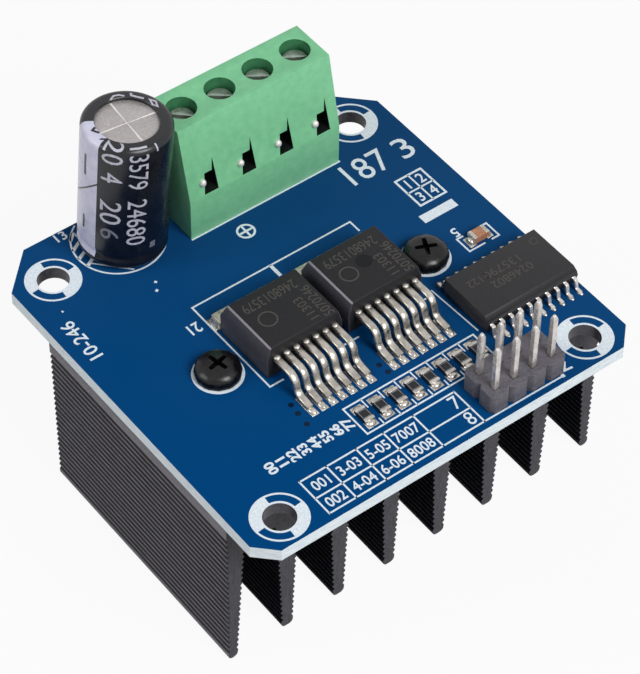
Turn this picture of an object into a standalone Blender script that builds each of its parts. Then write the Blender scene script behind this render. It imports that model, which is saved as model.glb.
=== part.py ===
# DC motor driver module: a square circuit board screwed to a finned heatsink.
# X runs along the pin header's edge, Y points to the terminal block, Z is up.
# The origin lies between the fin tips, under the middle of the board.
# At rest every wire clamp of the terminal block is fully open.

import math

import bmesh
import bpy
from mathutils import Matrix, Vector

MM = 0.001

# Clearances
SEAT = 0.05 * MM
RUNNING_FIT = 0.1 * MM
CAVITY_CLEARANCE = 0.2 * MM
CUTTER_EXCESS = 0.5 * MM

# Circuit board
BOARD_WIDTH = 50.0 * MM
BOARD_DEPTH = 50.0 * MM
BOARD_THICKNESS = 1.6 * MM
FRONT_CORNER_CUT = 2.3 * MM
BACK_CORNER_CUT = 4.6 * MM
MOUNT_HOLE_RADIUS = 1.8 * MM
MOUNT_HOLE_SIDE_INSET = 4.7 * MM
MOUNT_HOLE_FRONT_INSET = 3.55 * MM
MOUNT_HOLE_BACK_INSET = 5.65 * MM

# Heatsink extrusion, its profile seen along Y
SINK_SIDE_INSET = 0.2 * MM
SINK_FRONT_SETBACK = 6.6 * MM
SINK_BACK_SETBACK = 11.3 * MM
SINK_BASE = 3.0 * MM
FIN_COUNT = 8
FIN_HEIGHT = 19.2 * MM
FIN_ROOT_THICKNESS = 2.0 * MM
FIN_TIP_THICKNESS = 1.4 * MM
FIN_TIP_CHAMFER = 0.35 * MM
FIN_ROOT_FILLET = 0.3 * MM
RIDGES_PER_SIDE = 24
RIDGE_DEPTH = 0.16 * MM
RIDGE_TOP_MARGIN = 0.5 * MM
RIDGE_TIP_MARGIN = 0.9 * MM

# Thermal pad between the board and the heatsink
PAD_THICKNESS = 0.3 * MM
PAD_WIDTH = 22.0 * MM
PAD_DEPTH = 14.0 * MM

# Pan head screws that hold the heatsink
SINK_SCREW_DRIVER_GAP = 3.6 * MM
SINK_SCREW_DRIVER_SETBACK = 3.8 * MM
SINK_SCREW_RADIUS = 1.4 * MM
SINK_SCREW_LENGTH = 4.9 * MM
SINK_SCREW_POINT = 0.35 * MM
PAN_HEAD_RADIUS = 2.6 * MM
PAN_HEAD_HEIGHT = 1.9 * MM
PAN_RIM_HEIGHT = 0.7 * MM
PAN_DOME_STEPS = 4
PAN_DOME_SQUARENESS = 0.7
CROSS_ARM = 1.5 * MM
CROSS_WIDTH = 0.55 * MM
CROSS_DEPTH = 1.1 * MM

# Electrolytic capacitor, which leans a little towards the terminal block
CAPACITOR_RADIUS = 5.0 * MM
CAPACITOR_HEIGHT = 18.0 * MM
CAPACITOR_STANDOFF = 0.35 * MM
CAPACITOR_BACK_INSET = 5.3 * MM
CAPACITOR_TERMINAL_GAP = 1.18 * MM
CAPACITOR_LEAN_RIGHT = math.radians(3.9)
CAPACITOR_LEAN_FRONT = math.radians(1.3)
SLEEVE_THICKNESS = 0.12 * MM
SLEEVE_TOP_OPENING = 3.5 * MM
SLEEVE_BOTTOM_OPENING = 4.1 * MM
CAN_TOP_RECESS = 0.3 * MM
CAN_EDGE_RADIUS = 0.7 * MM
CRIMP_HEIGHT = 2.2 * MM
CRIMP_DEPTH = 0.35 * MM
CRIMP_HALF_WIDTH = 0.6 * MM
VENT_ARM = 3.2 * MM
VENT_WIDTH = 0.28 * MM
VENT_DEPTH = 0.15 * MM
VENT_ANGLE = math.radians(-4)
BUNG_RADIUS = 3.9 * MM
BUNG_THICKNESS = 1.1 * MM
CAPACITOR_LEAD_PITCH = 5.0 * MM
CAPACITOR_LEAD_RADIUS = 0.3 * MM
LEAD_TAIL = 1.3 * MM

# Rising clamp terminal block
POLE_COUNT = 4
POLE_PITCH = 5.08 * MM
TERMINAL_RIGHT_X = 15.5 * MM
TERMINAL_BACK_INSET = 0.1 * MM
TERMINAL_HEIGHT = 14.7 * MM
TERMINAL_DEPTH = 9.6 * MM
TERMINAL_TOP_FRONT_SETBACK = 2.05 * MM
TERMINAL_TOP_BACK_SETBACK = 1.7 * MM
TERMINAL_FRONT_STEP_HEIGHT = 5.5 * MM
TERMINAL_BACK_STEP_HEIGHT = 11.5 * MM
WELL_FRONT_DISTANCE = 4.9 * MM
WELL_RADIUS = 1.75 * MM
TERMINAL_SCREW_HEAD_RADIUS = 1.55 * MM
TERMINAL_SCREW_HEAD_HEIGHT = 1.5 * MM
TERMINAL_SCREW_RECESS = 1.3 * MM
TERMINAL_SCREW_RADIUS = 1.3 * MM
SCREW_SLOT_WIDTH = 0.5 * MM
SCREW_SLOT_DEPTH = 0.8 * MM
SCREW_SLOT_ANGLES = [math.radians(angle) for angle in (-44, -38, -36, -30)]
CLAMP_WIDTH = 3.9 * MM
CLAMP_DEPTH = 3.8 * MM
CLAMP_WALL = 0.5 * MM
CLAMP_TOP_WALL = 1.0 * MM
CLAMP_OPENING = 2.9 * MM
CLAMP_TRAVEL = 2.4 * MM
BLADE_WIDTH = 2.5 * MM
BLADE_THICKNESS = 0.6 * MM
BLADE_HEIGHT = 7.5 * MM
PIN_WIDTH = 1.1 * MM
PIN_TAIL = 1.9 * MM
ENTRY_WIDTH = 3.4 * MM
ENTRY_FLARE = 0.3 * MM
SLIT_BOTTOM = 5.7 * MM
SLIT_LEFT = 0.55 * MM
SLIT_RIGHT = 1.3 * MM
SLIT_SHOULDER = 2.6 * MM
SLIT_SHOULDER_LEFT = 0.18 * MM
SLIT_SPIKE_WIDTH = 0.28 * MM
SLIT_TIP = 4.2 * MM
SLIT_TIP_X = 1.1 * MM

# Pin header
HEADER_COLUMNS = 4
HEADER_ROWS = 2
HEADER_PITCH = 2.54 * MM
HEADER_SIDE_INSET = 9.49 * MM
HEADER_FRONT_INSET = 1.0 * MM
HEADER_INSULATOR_HEIGHT = 2.54 * MM
HEADER_NOTCH = 0.45 * MM
HEADER_PIN_SIDE = 0.64 * MM
HEADER_PIN_ABOVE = 6.0 * MM
HEADER_PIN_TAPER = 0.5 * MM
HEADER_PIN_POINT_SIDE = 0.32 * MM
HEADER_PIN_TAIL = 1.4 * MM

# Half-bridge driver packages
DRIVER_SPACING = 10.75 * MM
DRIVER_FRONT_SETBACK = 19.0 * MM
DRIVER_WIDTH = 10.0 * MM
DRIVER_DEPTH = 8.45 * MM
DRIVER_HEIGHT = 4.4 * MM
DRIVER_PARTING_HEIGHT = 2.65 * MM
DRIVER_DRAFTS = (0.29, 0.06, 0.4)
DRIVER_LOWER_DRAFT_SHARE = 0.15
SLUG_TAB_WIDTH = 9.8 * MM
SLUG_TONGUE_WIDTH = 8.0 * MM
SLUG_THICKNESS = 1.25 * MM
SLUG_UNDER_BODY = 6.0 * MM
SLUG_TAB = 1.65 * MM
DRIVER_LEADS = 7
DRIVER_LEAD_PITCH = 1.27 * MM
DRIVER_LEAD_WIDTH = 0.72 * MM
DRIVER_LEAD_THICKNESS = 0.5 * MM
DRIVER_LEAD_REACH = 5.95 * MM
DRIVER_LEAD_KNEE = 3.25 * MM
DRIVER_LEAD_HEEL = 3.75 * MM
DRIVER_LEAD_HEEL_LIFT = 0.25 * MM
DRIVER_LEAD_BEND = 0.7 * MM
LEAD_SOCKET_DEPTH = 0.45 * MM

# Buffer chip
CHIP_DRIVER_GAP = 1.575 * MM
CHIP_FRONT_SETBACK = 13.75 * MM
CHIP_DEPTH = 7.5 * MM
CHIP_HEIGHT = 2.45 * MM
CHIP_STANDOFF = 0.15 * MM
CHIP_PARTING_HEIGHT = 1.3 * MM
CHIP_DRAFTS = (0.17, 0.17, 0.17)
CHIP_LOWER_DRAFT_SHARE = 1.0
CHIP_CHAMFER = 0.45 * MM
CHIP_LEADS_PER_SIDE = 10
CHIP_LEAD_PITCH = 1.27 * MM
CHIP_END_MARGIN = 0.685 * MM
CHIP_LEAD_WIDTH = 0.42 * MM
CHIP_LEAD_THICKNESS = 0.25 * MM
CHIP_LEAD_REACH = 1.4 * MM
CHIP_LEAD_KNEE = 0.45 * MM
CHIP_LEAD_BEND = 0.18 * MM
CHIP_LEAD_OVERLAP = 0.5 * MM

# Chip resistors in a row, and one ceramic chip capacitor
RESISTOR_COUNT = 8
RESISTOR_PITCH = 2.17 * MM
RESISTOR_FIRST_X = -5.3 * MM
RESISTOR_FRONT_SETBACK = 8.9 * MM
RESISTOR_LENGTH = 2.0 * MM
RESISTOR_WIDTH = 1.25 * MM
RESISTOR_HEIGHT = 0.5 * MM
RESISTOR_END = 0.4 * MM
CERAMIC_CHIP_SHIFT = 2.15 * MM
CERAMIC_CHIP_SETBACK = 7.95 * MM
CERAMIC_LENGTH = 2.1 * MM
CERAMIC_WIDTH = 1.3 * MM
CERAMIC_HEIGHT = 0.95 * MM
CERAMIC_END = 0.45 * MM
END_CAP_STEP = 0.04 * MM

# Facets round a full turn
FINE_FACETS = 28
SCREW_FACETS = 20
HOLE_FACETS = 24
SMALL_FACETS = 8

# Heights and places that follow from the sizes above
SINK_HEIGHT = SINK_BASE + FIN_HEIGHT
SINK_WIDTH = BOARD_WIDTH - 2 * SINK_SIDE_INSET
SINK_LENGTH = BOARD_DEPTH - SINK_FRONT_SETBACK - SINK_BACK_SETBACK
PAD_BOTTOM = SINK_HEIGHT + SEAT
BOARD_BOTTOM = PAD_BOTTOM + PAD_THICKNESS + SEAT
BOARD_TOP = BOARD_BOTTOM + BOARD_THICKNESS
ON_BOARD = BOARD_TOP + SEAT
BOARD_FRONT_Y = -BOARD_DEPTH / 2
BOARD_BACK_Y = BOARD_DEPTH / 2
SINK_CENTRE_Y = BOARD_FRONT_Y + SINK_FRONT_SETBACK + SINK_LENGTH / 2
TERMINAL_LENGTH = POLE_COUNT * POLE_PITCH
TERMINAL_LEFT_X = TERMINAL_RIGHT_X - TERMINAL_LENGTH
TERMINAL_BACK_Y = BOARD_BACK_Y - TERMINAL_BACK_INSET
TERMINAL_FRONT_Y = TERMINAL_BACK_Y - TERMINAL_DEPTH
SCREW_Y = TERMINAL_FRONT_Y + WELL_FRONT_DISTANCE
BLADE_BOTTOM = BOARD_TOP + BLADE_HEIGHT
BLADE_TOP = BLADE_BOTTOM + BLADE_THICKNESS
CLAMP_TOP = BLADE_TOP + CAVITY_CLEARANCE + CLAMP_TOP_WALL
CLAMP_BOTTOM = BLADE_BOTTOM - CLAMP_OPENING - CLAMP_WALL
CLAMP_FRONT_Y = SCREW_Y - CLAMP_DEPTH / 2
CLAMP_BACK_Y = SCREW_Y + CLAMP_DEPTH / 2
CAVITY_TOP = CLAMP_TOP + CLAMP_TRAVEL + RUNNING_FIT
PIN_BACK_Y = CLAMP_FRONT_Y - CAVITY_CLEARANCE
PIN_CENTRE_Y = PIN_BACK_Y - BLADE_THICKNESS / 2
TERMINAL_SCREW_TOP = BOARD_TOP + TERMINAL_HEIGHT - TERMINAL_SCREW_RECESS
TERMINAL_HEAD_SEAT = TERMINAL_SCREW_TOP - TERMINAL_SCREW_HEAD_HEIGHT
CAPACITOR_X = TERMINAL_LEFT_X - CAPACITOR_TERMINAL_GAP - CAPACITOR_RADIUS
CAPACITOR_Y = BOARD_BACK_Y - CAPACITOR_BACK_INSET
HEADER_WIDTH = HEADER_COLUMNS * HEADER_PITCH
HEADER_DEPTH = HEADER_ROWS * HEADER_PITCH
HEADER_CENTRE_X = BOARD_WIDTH / 2 - HEADER_SIDE_INSET - HEADER_WIDTH / 2
HEADER_CENTRE_Y = BOARD_FRONT_Y + HEADER_FRONT_INSET + HEADER_DEPTH / 2
RESISTOR_Y = BOARD_FRONT_Y + RESISTOR_FRONT_SETBACK
DRIVER_FRONT_Y = BOARD_FRONT_Y + DRIVER_FRONT_SETBACK
DRIVER_SIDE_X = (DRIVER_SPACING + DRIVER_WIDTH) / 2
SINK_SCREW_X = DRIVER_SIDE_X + SINK_SCREW_DRIVER_GAP
SINK_SCREW_Y = DRIVER_FRONT_Y + SINK_SCREW_DRIVER_SETBACK
CHIP_LENGTH = (CHIP_LEADS_PER_SIDE - 1) * CHIP_LEAD_PITCH + 2 * CHIP_END_MARGIN
CHIP_CENTRE_X = DRIVER_SIDE_X + CHIP_DRIVER_GAP + CHIP_LENGTH / 2
CHIP_CENTRE_Y = BOARD_FRONT_Y + CHIP_FRONT_SETBACK
CERAMIC_X = CHIP_CENTRE_X + CERAMIC_CHIP_SHIFT
CERAMIC_Y = CHIP_CENTRE_Y + CERAMIC_CHIP_SETBACK

# Turns that stand a flat outline upright, with its own X and Y along the named axes
ALONG_Y = (math.pi / 2, 0, 0)
ALONG_X = (math.pi / 2, 0, math.pi / 2)

for old in list(bpy.data.objects):
    bpy.data.objects.remove(old, do_unlink=True)

module = bpy.data.collections.new("dc_motor_driver_module")
cutters = bpy.data.collections.new("cutters")
bpy.context.scene.collection.children.link(module)
bpy.context.scene.collection.children.link(cutters)
cutters.hide_render = True


def make_material(name, colour, roughness, metallic=0.0):
    material = bpy.data.materials.new(name)
    material.use_nodes = True
    shader = material.node_tree.nodes["Principled BSDF"]
    shader.inputs["Base Color"].default_value = (*colour, 1)
    shader.inputs["Roughness"].default_value = roughness
    shader.inputs["Metallic"].default_value = metallic
    material.diffuse_color = (*colour, 1)
    return material


board_blue = make_material("blue solder mask", (0.01, 0.10, 0.27), 0.35)
anodised_black = make_material("black anodised aluminium", (0.05, 0.05, 0.055), 0.5, 0.6)
pad_grey = make_material("silicone pad", (0.55, 0.56, 0.58), 0.8)
black_oxide = make_material("black oxide steel", (0.03, 0.03, 0.03), 0.35, 0.8)
can_aluminium = make_material("can aluminium", (0.62, 0.60, 0.60), 0.4, 0.9)
sleeve_black = make_material("printed sleeve", (0.015, 0.015, 0.03), 0.25)
bung_rubber = make_material("bung rubber", (0.04, 0.04, 0.04), 0.8)
terminal_green = make_material("terminal green", (0.17, 0.52, 0.24), 0.4)
screw_zinc = make_material("zinc plated steel", (0.6, 0.62, 0.6), 0.3, 0.9)
clamp_nickel = make_material("nickel plated brass", (0.65, 0.62, 0.55), 0.3, 0.9)
tinned = make_material("tinned copper", (0.72, 0.70, 0.67), 0.3, 0.9)
header_black = make_material("header plastic", (0.035, 0.035, 0.04), 0.45)
package_black = make_material("moulded package", (0.03, 0.03, 0.032), 0.5)
slug_copper = make_material("tinned slug", (0.50, 0.47, 0.40), 0.4, 0.8)
resistor_black = make_material("resistor body", (0.03, 0.03, 0.03), 0.4)
ceramic_tan = make_material("capacitor ceramic", (0.42, 0.27, 0.15), 0.5)


def mesh_from(name, bm):
    bmesh.ops.recalc_face_normals(bm, faces=bm.faces)
    mesh = bpy.data.meshes.new(name)
    bm.to_mesh(mesh)
    bm.free()
    return mesh


def place(name, mesh, material, location=(0, 0, 0), rotation=(0, 0, 0), parent=None):
    obj = bpy.data.objects.new(name, mesh)
    mesh.materials.clear()
    mesh.materials.append(material)
    obj.location = location
    obj.rotation_euler = rotation
    obj.parent = parent
    module.objects.link(obj)
    return obj


def place_cutter(name, mesh, location=(0, 0, 0), rotation=(0, 0, 0), parent=None, group=None):
    obj = bpy.data.objects.new(name, mesh)
    obj.location = location
    obj.rotation_euler = rotation
    obj.parent = parent
    obj.hide_render = True
    obj.display_type = "WIRE"
    (group or cutters).objects.link(obj)
    return obj


def cutter_group(name):
    """A collection of cutters that one Boolean takes together."""
    group = bpy.data.collections.new(name)
    group.hide_render = True
    cutters.children.link(group)
    return group


def combine(target, tool, operation="DIFFERENCE"):
    modifier = target.modifiers.new(tool.name, "BOOLEAN")
    modifier.operation = operation
    modifier.solver = "EXACT"
    if isinstance(tool, bpy.types.Collection):
        modifier.operand_type = "COLLECTION"
        modifier.collection = tool
    else:
        modifier.object = tool


def add_box(bm, low, high):
    low = Vector(low)
    high = Vector(high)
    matrix = Matrix.Translation((low + high) / 2) @ Matrix.Diagonal((*(high - low), 1))
    return bmesh.ops.create_cube(bm, size=1, matrix=matrix)["verts"]


def add_cylinder(bm, x, y, radius, bottom, top, facets):
    middle = Matrix.Translation((x, y, (bottom + top) / 2))
    sizes = {"radius1": radius, "radius2": radius, "depth": top - bottom}
    bmesh.ops.create_cone(bm, cap_ends=True, segments=facets, matrix=middle, **sizes)


def extruded_outline(name, outline, thickness):
    """A flat outline with thickness, in its own XY plane and centred on it."""
    curve = bpy.data.curves.new(name, "CURVE")
    curve.dimensions = "2D"
    curve.fill_mode = "BOTH"
    curve.extrude = thickness / 2
    spline = curve.splines.new("POLY")
    spline.points.add(len(outline) - 1)
    for point, (across, up) in zip(spline.points, outline):
        point.co = (across, up, 0, 1)
    spline.use_cyclic_u = True
    holder = bpy.data.objects.new(name, curve)
    module.objects.link(holder)
    graph = bpy.context.evaluated_depsgraph_get()
    filled = bpy.data.meshes.new_from_object(holder.evaluated_get(graph))
    bpy.data.objects.remove(holder)
    bm = bmesh.new()
    bm.from_mesh(filled)
    bmesh.ops.remove_doubles(bm, verts=bm.verts, dist=0.0001 * MM)
    for sign in (-1, 1):
        cap = [face for face in bm.faces if all(vert.co.z * sign > 0 for vert in face.verts)]
        bmesh.ops.dissolve_faces(bm, faces=cap)
    return mesh_from(name, bm)


def turned(name, profile, material, facets, parent=None, closed=False):
    """A profile of (radius, height) points, from the top down its outer side, turned about Z."""
    mesh = bpy.data.meshes.new(name)
    bm = bmesh.new()
    points = [bm.verts.new((radius, 0, height)) for radius, height in profile]
    for first, second in zip(points, points[1:]):
        bm.edges.new((first, second))
    if closed:
        bm.edges.new((points[-1], points[0]))
    bm.to_mesh(mesh)
    bm.free()
    obj = place(name, mesh, material, parent=parent)
    screw = obj.modifiers.new("turn", "SCREW")
    screw.steps = facets
    screw.render_steps = facets
    screw.use_merge_vertices = True
    screw.merge_threshold = 0.001 * MM
    screw.use_smooth_shade = True
    return obj


def cross_outline(arm, width):
    """The twelve corners of a cross."""
    half = width / 2
    quarter = [(half, half), (half, arm), (-half, arm)]
    corners = []
    for turn in range(4):
        angle = math.pi / 2 * turn
        for across, up in quarter:
            rotated_x = across * math.cos(angle) - up * math.sin(angle)
            rotated_y = across * math.sin(angle) + up * math.cos(angle)
            corners.append((rotated_x, rotated_y))
    return corners


def bent_path(points, radius, steps=2):
    """The points with each inner corner replaced by an arc."""
    path = [Vector(points[0])]
    for before, corner, after in zip(points, points[1:], points[2:]):
        corner = Vector(corner)
        arriving = (Vector(before) - corner).normalized()
        leaving = (Vector(after) - corner).normalized()
        half_angle = arriving.angle(leaving) / 2
        setback = radius / math.tan(half_angle)
        centre = corner + (arriving + leaving).normalized() * radius / math.sin(half_angle)
        start = corner + arriving * setback - centre
        end = corner + leaving * setback - centre
        sweep = start.angle(end)
        for step in range(steps + 1):
            share = step / steps
            blend = start * math.sin((1 - share) * sweep) + end * math.sin(share * sweep)
            path.append(centre + blend / math.sin(sweep))
    path.append(Vector(points[-1]))
    return path


def add_strip(bm, path, width, x=0.0):
    """An open surface along a path of (y, z) points, as wide as a lead."""
    rows = []
    for y, z in path:
        rows.append([bm.verts.new((x + side * width / 2, y, z)) for side in (-1, 1)])
    for first, second in zip(rows, rows[1:]):
        bm.faces.new((first[0], first[1], second[1], second[0]))


def give_thickness(obj, thickness):
    solidify = obj.modifiers.new("thickness", "SOLIDIFY")
    solidify.thickness = thickness
    solidify.offset = 0
    solidify.use_even_offset = True


def moulded_block(name, width, depth, bottom, parting, top, drafts, lower_share):
    """A moulded package, widest at its parting line: drafts (side, front, back) are its slopes above it."""
    bm = bmesh.new()
    add_box(bm, (-width / 2, 0, bottom), (width / 2, depth, top))
    everything = bm.verts[:] + bm.edges[:] + bm.faces[:]
    bmesh.ops.bisect_plane(bm, geom=everything, plane_co=(0, 0, parting), plane_no=(0, 0, 1))
    side, front, back = drafts
    for vert in bm.verts:
        rise = vert.co.z - parting
        reach = rise if rise > 0 else -rise * lower_share
        vert.co.x -= math.copysign(side * reach, vert.co.x)
        vert.co.y += front * reach if vert.co.y < depth / 2 else -back * reach
    return mesh_from(name, bm)


def circuit_board():
    half_width = BOARD_WIDTH / 2
    outline = [
        (-half_width + FRONT_CORNER_CUT, BOARD_FRONT_Y),
        (half_width - FRONT_CORNER_CUT, BOARD_FRONT_Y),
        (half_width, BOARD_FRONT_Y + FRONT_CORNER_CUT),
        (half_width, BOARD_BACK_Y - BACK_CORNER_CUT),
        (half_width - BACK_CORNER_CUT, BOARD_BACK_Y),
        (-half_width + BACK_CORNER_CUT, BOARD_BACK_Y),
        (-half_width, BOARD_BACK_Y - BACK_CORNER_CUT),
        (-half_width, BOARD_FRONT_Y + FRONT_CORNER_CUT),
    ]
    mesh = extruded_outline("circuit_board", outline, BOARD_THICKNESS)
    board = place("circuit_board", mesh, board_blue, (0, 0, (BOARD_BOTTOM + BOARD_TOP) / 2))
    tools = cutter_group("board_holes")
    for number, (x, y, radius, facets) in enumerate(board_holes(), 1):
        bm = bmesh.new()
        add_cylinder(bm, x, y, radius, BOARD_BOTTOM - CUTTER_EXCESS, BOARD_TOP + CUTTER_EXCESS, facets)
        place_cutter(f"board_hole_{number}", mesh_from("board_hole", bm), group=tools)
    combine(board, tools)


def board_holes():
    """Every hole of the board as (x, y, radius, facets)."""
    holes = []
    for side in (-1, 1):
        x = side * (BOARD_WIDTH / 2 - MOUNT_HOLE_SIDE_INSET)
        holes.append((x, BOARD_FRONT_Y + MOUNT_HOLE_FRONT_INSET, MOUNT_HOLE_RADIUS, HOLE_FACETS))
        holes.append((x, BOARD_BACK_Y - MOUNT_HOLE_BACK_INSET, MOUNT_HOLE_RADIUS, HOLE_FACETS))
        clear = SINK_SCREW_RADIUS + CAVITY_CLEARANCE
        holes.append((side * SINK_SCREW_X, SINK_SCREW_Y, clear, SCREW_FACETS))
        clear = CAPACITOR_LEAD_RADIUS + CAVITY_CLEARANCE
        holes.append((CAPACITOR_X + side * CAPACITOR_LEAD_PITCH / 2, CAPACITOR_Y, clear, SMALL_FACETS))
    clear = math.hypot(PIN_WIDTH, BLADE_THICKNESS) / 2 + RUNNING_FIT
    holes.extend((x, PIN_CENTRE_Y, clear, SMALL_FACETS) for x in pole_places())
    clear = HEADER_PIN_SIDE / math.sqrt(2) + RUNNING_FIT
    holes.extend((x, y, clear, SMALL_FACETS) for x, y in header_places())
    return holes


def fin_half_thickness(height):
    """Half a fin's thickness, which grows from its tip to its root."""
    share = height / FIN_HEIGHT
    return (FIN_TIP_THICKNESS + (FIN_ROOT_THICKNESS - FIN_TIP_THICKNESS) * share) / 2


def fin_side():
    """One ridged side of a fin as (distance from the fin's middle, height), from root to tip."""
    first = FIN_HEIGHT - FIN_ROOT_FILLET - RIDGE_TOP_MARGIN
    pitch = (first - RIDGE_TIP_MARGIN) / RIDGES_PER_SIDE
    side = []
    for ridge in range(RIDGES_PER_SIDE):
        crest = first - ridge * pitch
        valley = crest - pitch / 2
        side.append((fin_half_thickness(crest), crest))
        side.append((fin_half_thickness(valley) - RIDGE_DEPTH, valley))
    side.append((fin_half_thickness(RIDGE_TIP_MARGIN), RIDGE_TIP_MARGIN))
    side.append((FIN_TIP_THICKNESS / 2, FIN_TIP_CHAMFER))
    side.append((FIN_TIP_THICKNESS / 2 - FIN_TIP_CHAMFER, 0))
    return side


def heatsink():
    pitch = (SINK_WIDTH - FIN_ROOT_THICKNESS) / (FIN_COUNT - 1)
    side = fin_side()
    root = FIN_ROOT_THICKNESS / 2
    outline = [(-SINK_WIDTH / 2, SINK_HEIGHT)]
    for fin in range(FIN_COUNT):
        middle = -SINK_WIDTH / 2 + root + fin * pitch
        if fin == 0:
            outline.append((middle - root, FIN_HEIGHT))
        else:
            outline.append((middle - root - FIN_ROOT_FILLET, FIN_HEIGHT))
            outline.append((middle - root, FIN_HEIGHT - FIN_ROOT_FILLET))
        outline.extend((middle - reach, height) for reach, height in side)
        outline.extend((middle + reach, height) for reach, height in reversed(side))
        if fin == FIN_COUNT - 1:
            outline.append((middle + root, FIN_HEIGHT))
        else:
            outline.append((middle + root, FIN_HEIGHT - FIN_ROOT_FILLET))
            outline.append((middle + root + FIN_ROOT_FILLET, FIN_HEIGHT))
    outline.append((SINK_WIDTH / 2, SINK_HEIGHT))
    mesh = extruded_outline("heatsink", outline, SINK_LENGTH)
    sink = place("heatsink", mesh, anodised_black, (0, SINK_CENTRE_Y, 0), ALONG_Y)
    bm = bmesh.new()
    for sign in (-1, 1):
        x = sign * SINK_SCREW_X
        bottom = FIN_HEIGHT - CUTTER_EXCESS
        top = SINK_HEIGHT + CUTTER_EXCESS
        radius = SINK_SCREW_RADIUS + RUNNING_FIT
        add_cylinder(bm, x, SINK_SCREW_Y, radius, bottom, top, SCREW_FACETS)
    combine(sink, place_cutter("heatsink_holes", mesh_from("heatsink_holes", bm)))


def thermal_pad():
    bm = bmesh.new()
    low = (-PAD_WIDTH / 2, -PAD_DEPTH / 2, 0)
    add_box(bm, low, (PAD_WIDTH / 2, PAD_DEPTH / 2, PAD_THICKNESS))
    place("thermal_pad", mesh_from("thermal_pad", bm), pad_grey, (0, SINK_CENTRE_Y, PAD_BOTTOM))


def heatsink_screw(name, x):
    head = PAN_HEAD_RADIUS
    rise = PAN_HEAD_HEIGHT
    tip = SINK_SCREW_LENGTH
    dome = rise - PAN_RIM_HEIGHT
    profile = [(0, rise)]
    for step in range(1, PAN_DOME_STEPS):
        turn = math.pi / 2 * step / PAN_DOME_STEPS
        reach = head * math.sin(turn) ** PAN_DOME_SQUARENESS
        profile.append((reach, PAN_RIM_HEIGHT + dome * math.cos(turn)))
    profile += [
        (head, PAN_RIM_HEIGHT),
        (head, 0),
        (SINK_SCREW_RADIUS, 0),
        (SINK_SCREW_RADIUS, SINK_SCREW_POINT - tip),
        (SINK_SCREW_RADIUS - SINK_SCREW_POINT, -tip),
        (0, -tip),
    ]
    screw = turned(name, profile, black_oxide, SCREW_FACETS)
    screw.location = (x, SINK_SCREW_Y, ON_BOARD)
    recess = extruded_outline(name + "_recess", cross_outline(CROSS_ARM, CROSS_WIDTH), 2 * CROSS_DEPTH)
    combine(screw, place_cutter(name + "_recess", recess, (0, 0, rise), parent=screw))


def capacitor():
    seat = bpy.data.objects.new("capacitor_seat", None)
    seat.location = (CAPACITOR_X, CAPACITOR_Y, BOARD_TOP)
    seat.rotation_euler = (CAPACITOR_LEAN_FRONT, CAPACITOR_LEAN_RIGHT, 0)
    module.objects.link(seat)
    outer = CAPACITOR_RADIUS
    inner = outer - SLEEVE_THICKNESS
    top = CAPACITOR_HEIGHT
    bottom = CAPACITOR_STANDOFF
    edge = CAN_EDGE_RADIUS

    def wall(radius, opening_top, opening_bottom, high, low):
        """The profile of the sleeve's skin at this radius, from its top lip to its bottom lip."""
        corner = edge - (outer - radius)
        chamfer = corner / 2
        points = [(opening_top, high)]
        for step in range(3):
            turn = math.pi / 4 * step
            across = radius - corner + corner * math.sin(turn)
            points.append((across, high - corner + corner * math.cos(turn)))
        points += [
            (radius, CRIMP_HEIGHT + CRIMP_HALF_WIDTH),
            (radius - CRIMP_DEPTH, CRIMP_HEIGHT),
            (radius, CRIMP_HEIGHT - CRIMP_HALF_WIDTH),
            (radius, low + chamfer),
            (radius - chamfer, low),
            (opening_bottom, low),
        ]
        return points

    lips = (SLEEVE_TOP_OPENING, SLEEVE_BOTTOM_OPENING)
    outside = wall(outer, *lips, top, bottom)
    lining = wall(inner, *lips, top - SLEEVE_THICKNESS, bottom + SLEEVE_THICKNESS)
    turned("capacitor_sleeve", outside + lining[::-1], sleeve_black, FINE_FACETS, seat, closed=True)

    can_high = top - SLEEVE_THICKNESS - SEAT
    can_low = bottom + SLEEVE_THICKNESS + SEAT
    flank = wall(inner - SEAT, SLEEVE_TOP_OPENING + SEAT, BUNG_RADIUS + SEAT, can_high, can_low)
    disc = can_high - CAN_TOP_RECESS
    profile = [(0, disc), (SLEEVE_TOP_OPENING - SEAT, disc)] + flank
    profile += [(BUNG_RADIUS + SEAT, can_low + BUNG_THICKNESS), (0, can_low + BUNG_THICKNESS)]
    can = turned("capacitor_can", profile, can_aluminium, FINE_FACETS, seat)
    score = extruded_outline("vent_score", cross_outline(VENT_ARM, VENT_WIDTH), 2 * VENT_DEPTH)
    combine(can, place_cutter("vent_score", score, (0, 0, disc), (0, 0, VENT_ANGLE), seat))

    bung_top = can_low + BUNG_THICKNESS - SEAT
    bung_profile = [(0, bung_top), (BUNG_RADIUS, bung_top), (BUNG_RADIUS, can_low), (0, can_low)]
    bung = turned("capacitor_bung", bung_profile, bung_rubber, FINE_FACETS, seat)
    bm = bmesh.new()
    for side in (-1, 1):
        x = side * CAPACITOR_LEAD_PITCH / 2
        radius = CAPACITOR_LEAD_RADIUS + SEAT
        add_cylinder(bm, x, 0, radius, 0, bung_top + CUTTER_EXCESS, SMALL_FACETS)
    combine(bung, place_cutter("bung_holes", mesh_from("bung_holes", bm), parent=seat))
    for name, side in (("capacitor_lead_negative", -1), ("capacitor_lead_positive", 1)):
        bm = bmesh.new()
        x = side * CAPACITOR_LEAD_PITCH / 2
        tail = -BOARD_THICKNESS - LEAD_TAIL
        add_cylinder(bm, x, 0, CAPACITOR_LEAD_RADIUS, tail, bung_top, SMALL_FACETS)
        place(name, mesh_from(name, bm), tinned, parent=seat)


def pole_places():
    return [TERMINAL_LEFT_X + (pole + 0.5) * POLE_PITCH for pole in range(POLE_COUNT)]


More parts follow.
